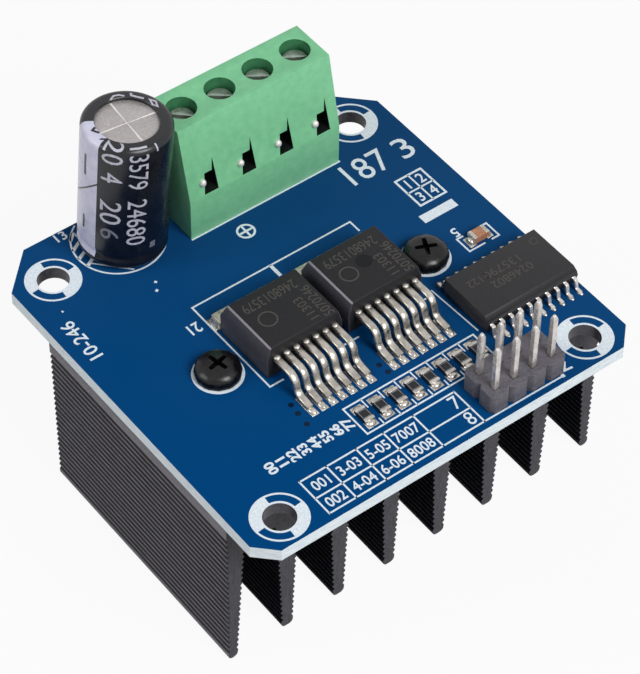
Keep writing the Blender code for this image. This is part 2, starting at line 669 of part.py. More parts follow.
def terminal_housing():
    """The housing is one profile along X, opened by wells, clamp chambers, wire entries and slits."""
    top_front = TERMINAL_FRONT_Y + TERMINAL_TOP_FRONT_SETBACK
    top_back = TERMINAL_BACK_Y - TERMINAL_TOP_BACK_SETBACK
    top = BOARD_TOP + TERMINAL_HEIGHT
    outline = [
        (TERMINAL_FRONT_Y, ON_BOARD),
        (TERMINAL_BACK_Y, ON_BOARD),
        (TERMINAL_BACK_Y, BOARD_TOP + TERMINAL_BACK_STEP_HEIGHT),
        (top_back, top),
        (top_front, top),
        (TERMINAL_FRONT_Y, BOARD_TOP + TERMINAL_FRONT_STEP_HEIGHT),
    ]
    mesh = extruded_outline("terminal_housing", outline, TERMINAL_LENGTH)
    middle = (TERMINAL_LEFT_X + TERMINAL_RIGHT_X) / 2
    housing = place("terminal_housing", mesh, terminal_green, (middle, 0, 0), ALONG_X)

    tools = cutter_group("terminal_cutters")
    chamber_front = CLAMP_FRONT_Y - RUNNING_FIT
    chamber_back = CLAMP_BACK_Y + CAVITY_CLEARANCE
    chamber_bottom = CLAMP_BOTTOM - CAVITY_CLEARANCE
    half_chamber = CLAMP_WIDTH / 2 + CAVITY_CLEARANCE
    slot_front = PIN_CENTRE_Y - BLADE_THICKNESS / 2 - CAVITY_CLEARANCE
    half_slot = max(PIN_WIDTH, BLADE_WIDTH) / 2 + RUNNING_FIT
    leg_slot = PIN_WIDTH / 2 + RUNNING_FIT
    for pole, x in enumerate(pole_places(), 1):
        bm = bmesh.new()
        low = (-half_chamber, chamber_front, chamber_bottom)
        add_box(bm, low, (half_chamber, chamber_back, CAVITY_TOP))
        place_cutter(f"chamber_{pole}", mesh_from("chamber", bm), (x, 0, 0), group=tools)
        bm = bmesh.new()
        slot_top = BLADE_TOP + CAVITY_CLEARANCE
        slot_back = chamber_front + CUTTER_EXCESS
        slot_bottom = BLADE_BOTTOM - CAVITY_CLEARANCE
        add_box(bm, (-half_slot, slot_front, slot_bottom), (half_slot, slot_back, slot_top))
        place_cutter(f"blade_slot_{pole}", mesh_from("blade_slot", bm), (x, 0, 0), group=tools)
        bm = bmesh.new()
        leg_low = (-leg_slot, slot_front, BOARD_TOP - CUTTER_EXCESS)
        add_box(bm, leg_low, (leg_slot, slot_back, slot_bottom + CUTTER_EXCESS))
        place_cutter(f"leg_slot_{pole}", mesh_from("leg_slot", bm), (x, 0, 0), group=tools)
        bm = bmesh.new()
        well_bottom = CAVITY_TOP - CUTTER_EXCESS
        add_cylinder(bm, 0, SCREW_Y, WELL_RADIUS, well_bottom, top + CUTTER_EXCESS, SCREW_FACETS)
        place_cutter(f"well_{pole}", mesh_from("well", bm), (x, 0, 0), group=tools)
        place_cutter(f"entry_{pole}", entry_mesh(chamber_back), (x, 0, 0), group=tools)
        slit_depth = slot_front + CUTTER_EXCESS - TERMINAL_FRONT_Y + CUTTER_EXCESS
        slit_middle = TERMINAL_FRONT_Y - CUTTER_EXCESS + slit_depth / 2
        slit = extruded_outline("slit", slit_outline(), slit_depth)
        spot = (x, slit_middle, BOARD_TOP + SLIT_BOTTOM)
        place_cutter(f"slit_{pole}", slit, spot, ALONG_Y, group=tools)
    combine(housing, tools)


def slit_outline():
    """The window over each clamp: a short box whose right side runs up to a point."""
    return [
        (-SLIT_LEFT, 0),
        (SLIT_RIGHT, 0),
        (SLIT_TIP_X, SLIT_TIP),
        (SLIT_TIP_X - SLIT_SPIKE_WIDTH, SLIT_SHOULDER),
        (-SLIT_SHOULDER_LEFT, SLIT_SHOULDER),
    ]


def entry_mesh(chamber_back):
    """A wire entry that widens towards the back face."""
    low = CLAMP_BOTTOM + CLAMP_WALL
    high = BLADE_BOTTOM
    bm = bmesh.new()
    near = chamber_back - CUTTER_EXCESS
    add_box(bm, (-ENTRY_WIDTH / 2, near, low), (ENTRY_WIDTH / 2, TERMINAL_BACK_Y + CUTTER_EXCESS, high))
    middle = (low + high) / 2
    for vert in bm.verts:
        if vert.co.y > TERMINAL_BACK_Y:
            vert.co.x += math.copysign(ENTRY_FLARE, vert.co.x)
            vert.co.z += math.copysign(ENTRY_FLARE, vert.co.z - middle)
    return mesh_from("entry", bm)


def terminal_screw(pole, x):
    """A captive slotted screw, which turns about its own axis."""
    name = f"terminal_screw_{pole}"
    shank_end = BLADE_TOP + SEAT - TERMINAL_HEAD_SEAT
    head = TERMINAL_SCREW_HEAD_RADIUS
    rise = TERMINAL_SCREW_HEAD_HEIGHT
    chamfer = SCREW_SLOT_WIDTH / 4
    profile = [
        (0, rise),
        (head - chamfer, rise),
        (head, rise - chamfer),
        (head, 0),
        (TERMINAL_SCREW_RADIUS, 0),
        (TERMINAL_SCREW_RADIUS, shank_end + chamfer),
        (TERMINAL_SCREW_RADIUS - chamfer, shank_end),
        (0, shank_end),
    ]
    screw = turned(name, profile, screw_zinc, SCREW_FACETS)
    screw.location = (x, SCREW_Y, TERMINAL_HEAD_SEAT)
    bm = bmesh.new()
    reach = head + CUTTER_EXCESS
    half = SCREW_SLOT_WIDTH / 2
    add_box(bm, (-reach, -half, rise - SCREW_SLOT_DEPTH), (reach, half, rise + CUTTER_EXCESS))
    turn = (0, 0, SCREW_SLOT_ANGLES[(pole - 1) % len(SCREW_SLOT_ANGLES)])
    combine(screw, place_cutter(name + "_slot", mesh_from("slot", bm), rotation=turn, parent=screw))


def terminal_clamp(pole, x):
    """A cage that the screw lifts: a wire is held between its floor and the fixed blade."""
    name = f"terminal_clamp_{pole}"
    bm = bmesh.new()
    half = CLAMP_WIDTH / 2
    add_box(bm, (-half, CLAMP_FRONT_Y, CLAMP_BOTTOM), (half, CLAMP_BACK_Y, CLAMP_TOP))
    clamp = place(name, mesh_from(name, bm), clamp_nickel, (x, 0, 0))
    bm = bmesh.new()
    inside = half - CLAMP_WALL
    low = (-inside, CLAMP_FRONT_Y - CUTTER_EXCESS, CLAMP_BOTTOM + CLAMP_WALL)
    high = (inside, CLAMP_BACK_Y + CUTTER_EXCESS, CLAMP_TOP - CLAMP_TOP_WALL)
    add_box(bm, low, high)
    combine(clamp, place_cutter(name + "_window", mesh_from("window", bm), parent=clamp))
    bm = bmesh.new()
    bottom = CLAMP_TOP - CLAMP_TOP_WALL - CUTTER_EXCESS
    top = CLAMP_TOP + CUTTER_EXCESS
    radius = TERMINAL_SCREW_RADIUS + RUNNING_FIT
    add_cylinder(bm, 0, SCREW_Y, radius, bottom, top, SCREW_FACETS)
    combine(clamp, place_cutter(name + "_thread", mesh_from("thread", bm), parent=clamp))


def terminal_pin(pole, x):
    """The fixed blade under the screw, folded down into a leg through the board."""
    name = f"terminal_pin_{pole}"
    back = CLAMP_BACK_Y - RUNNING_FIT
    front = PIN_CENTRE_Y - BLADE_THICKNESS / 2
    bm = bmesh.new()
    add_box(bm, (-BLADE_WIDTH / 2, front, BLADE_BOTTOM), (BLADE_WIDTH / 2, back, BLADE_TOP))
    blade = place(name, mesh_from(name, bm), tinned, (x, 0, 0))
    bm = bmesh.new()
    tail = BOARD_BOTTOM - PIN_TAIL
    leg_back = front + BLADE_THICKNESS
    add_box(bm, (-PIN_WIDTH / 2, front, tail), (PIN_WIDTH / 2, leg_back, BLADE_TOP))
    combine(blade, place_cutter(name + "_leg", mesh_from("leg", bm), parent=blade), "UNION")


def header_places():
    places = []
    for column in range(HEADER_COLUMNS):
        x = HEADER_CENTRE_X + (column - (HEADER_COLUMNS - 1) / 2) * HEADER_PITCH
        for row in range(HEADER_ROWS):
            y = HEADER_CENTRE_Y + (row - (HEADER_ROWS - 1) / 2) * HEADER_PITCH
            places.append((x, y))
    return places


def notched_side(cells, length):
    """One side of the insulator, from 0 to its length, with a notch between each pair of cells."""
    pitch = length / cells
    side = []
    for cell in range(cells):
        side.append((cell * pitch + HEADER_NOTCH, 0))
        side.append(((cell + 1) * pitch - HEADER_NOTCH, 0))
        if cell < cells - 1:
            side.append(((cell + 1) * pitch, HEADER_NOTCH))
    return side


def header():
    half_width = HEADER_WIDTH / 2
    half_depth = HEADER_DEPTH / 2
    front_side = notched_side(HEADER_COLUMNS, HEADER_WIDTH)
    front = [(along - half_width, inward - half_depth) for along, inward in front_side]
    right_side = notched_side(HEADER_ROWS, HEADER_DEPTH)
    right = [(half_width - inward, along - half_depth) for along, inward in right_side]
    outline = front + right
    outline += [(-across, -up) for across, up in front]
    outline += [(-across, -up) for across, up in right]
    mesh = extruded_outline("header_insulator", outline, HEADER_INSULATOR_HEIGHT)
    middle = ON_BOARD + HEADER_INSULATOR_HEIGHT / 2
    insulator = place("header_insulator", mesh, header_black, (HEADER_CENTRE_X, HEADER_CENTRE_Y, middle))
    bm = bmesh.new()
    half = HEADER_PIN_SIDE / 2 + SEAT
    for x, y in header_places():
        bottom = BOARD_TOP - CUTTER_EXCESS
        top = ON_BOARD + HEADER_INSULATOR_HEIGHT + CUTTER_EXCESS
        add_box(bm, (x - half, y - half, bottom), (x + half, y + half, top))
    combine(insulator, place_cutter("header_holes", mesh_from("header_holes", bm)))
    for number, (x, y) in enumerate(header_places(), 1):
        header_pin(f"header_pin_{number}", x, y)


def header_pin(name, x, y):
    """A square pin with a blunt point at each end."""
    top = ON_BOARD + HEADER_INSULATOR_HEIGHT + HEADER_PIN_ABOVE
    bottom = BOARD_BOTTOM - HEADER_PIN_TAIL
    half = HEADER_PIN_SIDE / 2
    bm = bmesh.new()
    add_box(bm, (-half, -half, bottom + HEADER_PIN_TAPER), (half, half, top - HEADER_PIN_TAPER))
    ends = [face for face in bm.faces if abs(face.normal.z) > 0.5]
    narrowing = HEADER_PIN_POINT_SIDE / HEADER_PIN_SIDE
    for end in ends:
        rise = HEADER_PIN_TAPER if end.normal.z > 0 else -HEADER_PIN_TAPER
        point = bmesh.ops.extrude_discrete_faces(bm, faces=[end])["faces"][0]
        bmesh.ops.scale(bm, vec=(narrowing, narrowing, 1), verts=point.verts)
        bmesh.ops.translate(bm, vec=(0, 0, rise), verts=point.verts)
    place(name, mesh_from(name, bm), tinned, (x, y, 0))


def driver(side_name, x):
    """A half-bridge package: moulded body, heat slug under it and formed leads at its front."""
    levels = (0, DRIVER_PARTING_HEIGHT, DRIVER_HEIGHT)
    slopes = (DRIVER_DRAFTS, DRIVER_LOWER_DRAFT_SHARE)
    mesh = moulded_block("driver", DRIVER_WIDTH, DRIVER_DEPTH, *levels, *slopes)
    seat = (x, DRIVER_FRONT_Y, ON_BOARD)
    body = place(f"driver_body_{side_name}", mesh, package_black, seat)
    slug_front = DRIVER_DEPTH - SLUG_UNDER_BODY
    tongue = SLUG_TONGUE_WIDTH / 2
    bm = bmesh.new()
    low = (-tongue - SEAT, slug_front - SEAT, -CUTTER_EXCESS)
    add_box(bm, low, (tongue + SEAT, DRIVER_DEPTH + CUTTER_EXCESS, SLUG_THICKNESS + SEAT))
    pocket = place_cutter(f"slug_pocket_{side_name}", mesh_from("pocket", bm), parent=body)
    combine(body, pocket)
    tab = SLUG_TAB_WIDTH / 2
    tab_front = DRIVER_DEPTH + SEAT
    tab_back = DRIVER_DEPTH + SLUG_TAB
    outline = [(-tongue, slug_front), (tongue, slug_front), (tongue, tab_front), (tab, tab_front)]
    outline += [(tab, tab_back), (-tab, tab_back), (-tab, tab_front), (-tongue, tab_front)]
    name = f"driver_slug_{side_name}"
    middle = Vector((0, 0, SLUG_THICKNESS / 2))
    place(name, extruded_outline(name, outline, SLUG_THICKNESS), slug_copper, Vector(seat) + middle)

    middle = DRIVER_PARTING_HEIGHT
    half_wide = DRIVER_LEAD_WIDTH / 2 + SEAT
    half_high = DRIVER_LEAD_THICKNESS / 2 + SEAT
    offsets = [(lead - (DRIVER_LEADS - 1) / 2) * DRIVER_LEAD_PITCH for lead in range(DRIVER_LEADS)]
    bm = bmesh.new()
    for offset in offsets:
        low = (offset - half_wide, -CUTTER_EXCESS, middle - half_high)
        add_box(bm, low, (offset + half_wide, LEAD_SOCKET_DEPTH, middle + half_high))
    combine(body, place_cutter(f"lead_sockets_{side_name}", mesh_from("sockets", bm), parent=body))
    sole = DRIVER_LEAD_THICKNESS / 2
    corners = [
        (LEAD_SOCKET_DEPTH - SEAT, middle),
        (-DRIVER_LEAD_KNEE, middle),
        (-DRIVER_LEAD_HEEL, sole + DRIVER_LEAD_HEEL_LIFT),
        (-DRIVER_LEAD_REACH, sole),
    ]
    path = bent_path(corners, DRIVER_LEAD_BEND)
    for number, offset in enumerate(offsets, 1):
        name = f"driver_{side_name}_lead_{number}"
        bm = bmesh.new()
        add_strip(bm, path, DRIVER_LEAD_WIDTH)
        lead = place(name, mesh_from(name, bm), tinned, (x + offset, DRIVER_FRONT_Y, ON_BOARD))
        give_thickness(lead, DRIVER_LEAD_THICKNESS)


def buffer_chip():
    """A small-outline package whose twenty leads are one solid with it."""
    levels = (CHIP_STANDOFF, CHIP_PARTING_HEIGHT, CHIP_HEIGHT)
    mesh = moulded_block("chip", CHIP_LENGTH, CHIP_DEPTH, *levels, CHIP_DRAFTS, CHIP_LOWER_DRAFT_SHARE)
    seat = (CHIP_CENTRE_X, CHIP_CENTRE_Y - CHIP_DEPTH / 2, ON_BOARD)
    chip = place("buffer_chip", mesh, package_black, seat)
    corner_y = CHIP_DRAFTS[1] * (CHIP_HEIGHT - CHIP_PARTING_HEIGHT)
    half = CHIP_CHAMFER / math.sqrt(2)
    bm = bmesh.new()
    add_box(bm, (-CHIP_LENGTH, -half, -half), (CHIP_LENGTH, half, half))
    spot = (0, corner_y, CHIP_HEIGHT)
    turn = (math.radians(45), 0, 0)
    combine(chip, place_cutter("chip_chamfer", mesh_from("chip_chamfer", bm), spot, turn, chip))
    sole = CHIP_LEAD_THICKNESS / 2
    corners = [
        (CHIP_LEAD_OVERLAP, CHIP_PARTING_HEIGHT),
        (-CHIP_LEAD_KNEE, CHIP_PARTING_HEIGHT),
        (-CHIP_LEAD_KNEE - CHIP_LEAD_BEND, sole),
        (-CHIP_LEAD_REACH, sole),
    ]
    path = bent_path(corners, CHIP_LEAD_BEND)
    bm = bmesh.new()
    for lead in range(CHIP_LEADS_PER_SIDE):
        x = (lead - (CHIP_LEADS_PER_SIDE - 1) / 2) * CHIP_LEAD_PITCH
        add_strip(bm, path, CHIP_LEAD_WIDTH, x)
        add_strip(bm, [(CHIP_DEPTH - y, z) for y, z in path], CHIP_LEAD_WIDTH, x)
    leads = place_cutter("chip_leads", mesh_from("chip_leads", bm), parent=chip)
    give_thickness(leads, CHIP_LEAD_THICKNESS)
    combine(chip, leads, "UNION")


def end_capped_chip(name, length, width, height, end, material, location, rotation):
    """A two-terminal chip: its metal ends stand a little proud of the body between them."""
    half = length / 2
    inner = half - end
    step = END_CAP_STEP
    outline = [
        (-half, 0),
        (-inner, 0),
        (-inner, step),
        (inner, step),
        (inner, 0),
        (half, 0),
        (half, height),
        (inner, height),
        (inner, height - step),
        (-inner, height - step),
        (-inner, height),
        (-half, height),
    ]
    place(name, extruded_outline(name, outline, width), material, location, rotation)


def small_parts():
    for number in range(1, RESISTOR_COUNT + 1):
        spot = (RESISTOR_FIRST_X + (number - 1) * RESISTOR_PITCH, RESISTOR_Y, ON_BOARD)
        sizes = (RESISTOR_LENGTH, RESISTOR_WIDTH, RESISTOR_HEIGHT, RESISTOR_END)
        end_capped_chip(f"resistor_{number}", *sizes, resistor_black, spot, ALONG_X)
    sizes = (CERAMIC_LENGTH, CERAMIC_WIDTH, CERAMIC_HEIGHT, CERAMIC_END)
    end_capped_chip("chip_capacitor", *sizes, ceramic_tan, (CERAMIC_X, CERAMIC_Y, ON_BOARD), ALONG_Y)


circuit_board()
heatsink()
thermal_pad()
heatsink_screw("heatsink_screw_left", -SINK_SCREW_X)
heatsink_screw("heatsink_screw_right", SINK_SCREW_X)
capacitor()
terminal_housing()
for pole_number, pole_x in enumerate(pole_places(), 1):
    terminal_screw(pole_number, pole_x)
    terminal_clamp(pole_number, pole_x)
    terminal_pin(pole_number, pole_x)
header()
driver("left", -DRIVER_SPACING / 2)
driver("right", DRIVER_SPACING / 2)
buffer_chip()
small_parts()
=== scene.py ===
import math

import bmesh
import bpy
from mathutils import Euler, Matrix, Vector


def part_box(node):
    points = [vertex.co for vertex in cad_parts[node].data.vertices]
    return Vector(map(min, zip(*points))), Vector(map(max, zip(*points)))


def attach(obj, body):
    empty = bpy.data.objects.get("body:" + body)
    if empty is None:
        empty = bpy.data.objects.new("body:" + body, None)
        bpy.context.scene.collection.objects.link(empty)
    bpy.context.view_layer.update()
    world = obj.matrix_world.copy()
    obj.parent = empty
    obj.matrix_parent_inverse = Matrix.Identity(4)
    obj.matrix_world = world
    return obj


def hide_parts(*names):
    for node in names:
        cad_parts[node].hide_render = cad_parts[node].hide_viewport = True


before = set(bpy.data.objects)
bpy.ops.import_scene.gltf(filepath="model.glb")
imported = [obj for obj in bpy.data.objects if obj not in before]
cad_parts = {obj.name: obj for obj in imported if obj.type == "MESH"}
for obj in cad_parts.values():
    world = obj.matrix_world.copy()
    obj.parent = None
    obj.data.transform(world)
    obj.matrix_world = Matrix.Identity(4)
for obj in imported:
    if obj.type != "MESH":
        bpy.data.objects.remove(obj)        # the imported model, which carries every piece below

# Pieces are modelled in millimetres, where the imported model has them, and made metres at the end
mm = 0.001
scene = bpy.context.scene
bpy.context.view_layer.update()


def nodeBox(name):
    low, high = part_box(name)
    return low / mm, high / mm


def nodeMiddle(name):
    low, high = nodeBox(name)
    return (low + high) / 2


boardLow, boardHigh = nodeBox("circuit_board")
boardTop = boardHigh.z
sides = ("left", "right")
poles = range(1, 5)
headerPins = range(1, 9)


# Node helpers for the finishes

def screenColour(red, green, blue):
    linear = []
    for value in (red, green, blue):
        share = value / 255
        linear.append(share / 12.92 if share <= 0.04045 else ((share + 0.055) / 1.055) ** 2.4)
    return (*linear, 1)


def newFinish(name, colour, roughness, metallic=0.0, specular=0.5):
    material = bpy.data.materials.new(name)
    material.use_nodes = True
    shader = material.node_tree.nodes["Principled BSDF"]
    shader.inputs["Base Color"].default_value = screenColour(*colour)
    shader.inputs["Roughness"].default_value = roughness
    shader.inputs["Metallic"].default_value = metallic
    shader.inputs["Specular IOR Level"].default_value = specular
    return material


def addNode(material, kind, **values):
    node = material.node_tree.nodes.new(kind)
    for key, value in values.items():
        node.inputs[key].default_value = value
    return node


def link(material, source, target):
    material.node_tree.links.new(source, target)


def reckon(material, operation, *terms):
    node = addNode(material, "ShaderNodeMath")
    node.operation = operation
    for socket, term in zip(node.inputs, terms):
        if isinstance(term, (int, float)):
            socket.default_value = term
        else:
            link(material, term, socket)
    return node.outputs["Value"]


def grain(material, size, stretch=(1, 1, 1), detail=3.0):
    place = addNode(material, "ShaderNodeTexCoord")
    mapping = addNode(material, "ShaderNodeMapping", Scale=stretch)
    noise = addNode(material, "ShaderNodeTexNoise", Scale=1 / (size * mm), Detail=detail)
    link(material, place.outputs["Object"], mapping.inputs["Vector"])
    link(material, mapping.outputs["Vector"], noise.inputs["Vector"])
    return noise.outputs["Fac"]


def shaderOf(material):
    return material.node_tree.nodes["Principled BSDF"]


def tint(material, source, dark, light, low=0.3, high=0.7):
    ramp = addNode(material, "ShaderNodeValToRGB")
    ends = ramp.color_ramp.elements
    ends[0].position, ends[1].position = low, high
    ends[0].color, ends[1].color = screenColour(*dark), screenColour(*light)
    link(material, source, ramp.inputs["Fac"])
    link(material, ramp.outputs["Color"], shaderOf(material).inputs["Base Color"])


def varyGloss(material, source, smooth, rough):
    spread = addNode(material, "ShaderNodeMapRange", **{"From Min": 0.3, "From Max": 0.7})
    spread.inputs["To Min"].default_value = smooth
    spread.inputs["To Max"].default_value = rough
    link(material, source, spread.inputs["Value"])
    link(material, spread.outputs["Result"], shaderOf(material).inputs["Roughness"])


def relief(material, source, depth):
    normal = shaderOf(material).inputs["Normal"]
    bump = addNode(material, "ShaderNodeBump", Distance=depth * mm, Strength=1.0)
    if normal.is_linked:
        link(material, normal.links[0].from_socket, bump.inputs["Normal"])
    link(material, source, bump.inputs["Height"])
    link(material, bump.outputs["Normal"], normal)


# Finishes

def shadedSolderMask():      # the blue greys a little from the near left corner to the far right one: painted shading across the board
    material = newFinish("blueSolderMaskShaded", (2, 68, 120), 0.28, specular=0.02)
    place = addNode(material, "ShaderNodeTexCoord")
    split = addNode(material, "ShaderNodeSeparateXYZ")
    link(material, place.outputs["Object"], split.inputs["Vector"])
    across = reckon(material, "ADD", split.outputs["X"], split.outputs["Y"])
    spread = addNode(material, "ShaderNodeMapRange", **{"From Min": -0.03, "From Max": 0.045})
    link(material, across, spread.inputs["Value"])
    clouds = grain(material, 9, detail=2)
    # the position gradient mixed in here is painted shading
    blend = reckon(material, "MULTIPLY_ADD", clouds, 0.25, spread.outputs["Result"])
    tint(material, blend, (0, 66, 121), (20, 68, 114), 0.1, 1.0)
    relief(material, grain(material, 0.5), 0.004)
    relief(material, grain(material, 6, detail=1), 0.02)
    return material


def matt(name, dark, light, roughness, specular, size, stretch, depth):
    material = newFinish(name, light, roughness, specular=specular)
    fibres = grain(material, size, stretch)
    tint(material, fibres, dark, light)
    relief(material, fibres, depth)
    return material


def anodised(name, dark, light, stretch, size, depth, roughness, specular):
    material = newFinish(name, light, roughness, 0.0, specular)
    lines = grain(material, size, stretch)
    tint(material, lines, dark, light)
    varyGloss(material, grain(material, 0.4), roughness - 0.08, roughness + 0.1)
    relief(material, lines, depth)
    return material


def metal(name, dark, light, roughness, size=0.3, depth=0.004, metallic=1.0):
    material = newFinish(name, light, roughness, metallic)
    clouds = grain(material, size)
    tint(material, clouds, dark, light)
    varyGloss(material, clouds, max(roughness - 0.08, 0.04), roughness + 0.1)
    relief(material, grain(material, size * 2, detail=1), depth)
    return material


def plastic(name, dark, light, roughness, size, depth, specular=0.5):
    material = newFinish(name, light, roughness, 0.0, specular)
    clouds = grain(material, size)
    tint(material, clouds, dark, light)
    varyGloss(material, clouds, roughness - 0.05, roughness + 0.08)
    relief(material, grain(material, size * 0.6), depth)
    return material


maskBlue = shadedSolderMask()
edgeLaminate = matt("glassLaminate", (198, 214, 224), (240, 246, 248), 0.6, 0.5, 0.35, (0.25, 0.25, 3.0), 0.02)
printWhite = matt("whiteInk", (206, 218, 228), (234, 242, 247), 0.55, 0.3, 0.25, (1, 1, 1), 0.004)
drawn = ((2.5, 0.2, 2.5), 0.5, 0.01)      # lines along the extrusion
# One black anodised aluminium: a lighter copy on the outer ridge crests is a painted highlight, and a darker copy in
# their grooves is painted shade
sinkLitRidge = anodised("litRidgeAnodised", (90, 87, 93), (114, 111, 118), *drawn, 0.5, 0.2)
sinkShadedGroove = anodised("shadedGrooveAnodised", (50, 49, 53), (62, 61, 65), *drawn, 0.6, 0.08)
# a near black copy on the faces between the fins, where they shade each other: painted shade
sinkShadedInner = anodised("shadedInnerAnodised", (17, 18, 23), (23, 24, 30), *drawn, 0.7, 0.04)
sinkEnd = anodised("sawnAnodised", (48, 48, 52), (72, 71, 77), (3.0, 1.0, 0.3), 0.35, 0.02, 0.55, 0.2)
padGrey = plastic("siliconePad", (138, 140, 145), (160, 163, 168), 0.8, 0.5, 0.02, 0.3)
screwBlack = metal("blackOxide", (8, 8, 10), (18, 18, 21), 0.28, 0.4, 0.004, 0.4)
sleeveBlack = plastic("blackSleeve", (13, 14, 20), (19, 20, 27), 0.26, 1.5, 0.01, 0.45)
sleeveStripe = plastic("greyStripe", (196, 196, 220), (216, 216, 236), 0.3, 1.2, 0.01, 0.4)
sleeveInk = plastic("greyInk", (170, 171, 184), (200, 201, 212), 0.35, 0.2, 0.004, 0.4)
sleeveFaint = plastic("wornInk", (96, 97, 110), (130, 131, 142), 0.35, 0.2, 0.004, 0.4)
canTop = metal("pressedAluminium", (164, 159, 158), (186, 181, 180), 0.45, 0.25, 0.004, 0.5)
# the scores are the same pressed aluminium; their near white, barely metallic finish is a painted highlight
scoreHighlight = metal("highlightScoreLine", (226, 222, 218), (246, 243, 240), 0.5, 0.3, 0.002, 0.2)
bungBlack = plastic("bungRubber", (26, 26, 28), (38, 38, 40), 0.75, 0.3, 0.02, 0.3)
blockGreen = plastic("mouldedGreen", (116, 189, 141), (128, 199, 151), 0.4, 0.9, 0.006, 0.3)
# a lighter copy of the block's green on the bevels along the top: painted highlight
blockHighlight = plastic("highlightGreen", (164, 226, 186), (180, 238, 200), 0.35, 0.9, 0.004, 0.4)
# a darker copy of the green in the wells and near black in the chambers and windows: painted shade
wellShadeGreen = plastic("shadedGreen", (48, 106, 70), (62, 124, 84), 0.4, 0.9, 0.006, 0.2)
hollowShade = plastic("paintedShadeHollow", (6, 12, 10), (12, 18, 15), 0.6, 0.9, 0.004, 0.1)
screwZinc = metal("zincPlate", (138, 152, 140), (166, 178, 166), 0.3, 0.8, 0.002, 0.6)
clampNickel = metal("nickelPlate", (150, 146, 134), (196, 190, 176), 0.25, 0.3)
# near white beads in the windows stand for the glint of light on the clamp: painted highlight
nubGlint = metal("glintTin", (216, 214, 208), (236, 234, 230), 0.25, 0.3, 0.001, 0.3)
tinBright = metal("brightTin", (152, 147, 139), (194, 189, 180), 0.26, 0.9, 0.002, 0.85)
pinBright = metal("pinTin", (186, 181, 178), (222, 217, 213), 0.28, 0.9, 0.002, 0.7)
solderTin = metal("solder", (160, 155, 148), (206, 201, 194), 0.24, 0.6, 0.008, 0.8)
slugTin = metal("tinnedSlug", (164, 162, 146), (212, 209, 194), 0.4, 0.5, 0.01, 0.5)
headerBlack = plastic("headerPlastic", (77, 75, 82), (102, 100, 107), 0.45, 0.3, 0.008, 0.3)
resinBlack = plastic("mouldedResin", (34, 34, 36), (44, 44, 46), 0.5, 0.16, 0.006, 0.12)
# a lighter copy of the resin on the packages' left and right sides: painted light
resinLitSide = plastic("litDraftedSide", (56, 55, 62), (70, 69, 77), 0.45, 0.16, 0.006, 0.2)
# a light copy of the resin on top bevels of the packages: painted highlight
resinHighlight = plastic("highlightEdge", (122, 119, 126), (142, 138, 146), 0.4, 0.16, 0.004, 0.3)
resinDark = plastic("ejectorDimple", (24, 24, 26), (32, 32, 34), 0.5, 0.16, 0.004, 0.1)
resinMark = plastic("laserMark", (66, 63, 60), (80, 76, 72), 0.6, 0.1, 0.004, 0.2)
chipBlack = plastic("chipResin", (38, 38, 40), (50, 50, 52), 0.42, 0.16, 0.006, 0.2)
resistorBlack = plastic("resistorGlaze", (16, 16, 19), (30, 30, 34), 0.3, 0.15, 0.004, 0.3)
resistorMark = plastic("paleMark", (120, 120, 126), (150, 150, 156), 0.5, 0.1, 0.004)
ceramicTan = plastic("tanCeramic", (148, 96, 66), (186, 134, 102), 0.35, 0.25, 0.006)
# dark grey in the drilled holes, whose laminate is as pale as the board's edge: painted shade
shadedHoleWall = metal("shadedDrilledWall", (40, 40, 46), (72, 70, 76), 0.45, 0.4, 0.01, 0.3)
maskDark = plastic("tentedVia", (0, 22, 44), (2, 30, 58), 0.3, 0.3, 0.004, 0.1)
print("finishes mixed")


# Modelling helpers

def addPiece(name, bm, finishes, stands=(), body="module", sharp=35):
    bmesh.ops.scale(bm, vec=(mm, mm, mm), verts=bm.verts)
    mesh = bpy.data.meshes.new(name)
    bm.to_mesh(mesh)
    bm.free()
    mesh.shade_smooth()
    mesh.set_sharp_from_angle(angle=math.radians(sharp))
    for finish in finishes:
        mesh.materials.append(finish)
    piece = bpy.data.objects.new(name, mesh)
    scene.collection.objects.link(piece)
    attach(piece, body)
    if stands:
        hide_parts(*stands)


def dressNode(name, finish):
    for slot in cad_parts[name].material_slots:
        slot.material = finish


def vertsOf(geometry):
    return [item for item in geometry if isinstance(item, bmesh.types.BMVert)]


def facesOf(geometry):
    return [item for item in geometry if isinstance(item, bmesh.types.BMFace)]


def edgesAround(items):
    edges = set()
    for item in items:
        edges.update(item.link_edges if isinstance(item, bmesh.types.BMVert) else item.edges)
    return list(edges)


def softenEdges(bm, edges, width):
    bmesh.ops.bevel(
        bm, geom=edges, offset=width, offset_type="OFFSET", segments=2,
        profile=0.5, affect="EDGES", clamp_overlap=True, material=-1,
    )


def boxInto(bm, low, high, soften):
    low, high = Vector(low), Vector(high)
    matrix = Matrix.Translation((low + high) / 2) @ Matrix.Diagonal((*(high - low), 1))
    verts = bmesh.ops.create_cube(bm, size=1, matrix=matrix)["verts"]
    softenEdges(bm, edgesAround(verts), soften)


def beadInto(bm, spot, radius, stretch, segments=16, rings=10):
    place = Matrix.Translation(spot)
    made = bmesh.ops.create_uvsphere(bm, u_segments=segments, v_segments=rings, radius=radius, matrix=place)
    bmesh.ops.scale(bm, vec=stretch, space=place.inverted(), verts=made["verts"])


def thicken(bm, faces, push):
    raised = bmesh.ops.extrude_face_region(bm, geom=faces)["geom"]
    bmesh.ops.translate(bm, vec=push, verts=vertsOf(raised))
    return raised


def plateInto(bm, outline, push, soften=0.0):
    before = set(bm.faces)
    face = bm.faces.new([bm.verts.new(point) for point in outline])
    raised = thicken(bm, [face], push)
    bmesh.ops.recalc_face_normals(bm, faces=list(set(bm.faces) - before))
    if soften:
        softenEdges(bm, edgesAround(facesOf(raised)), soften)


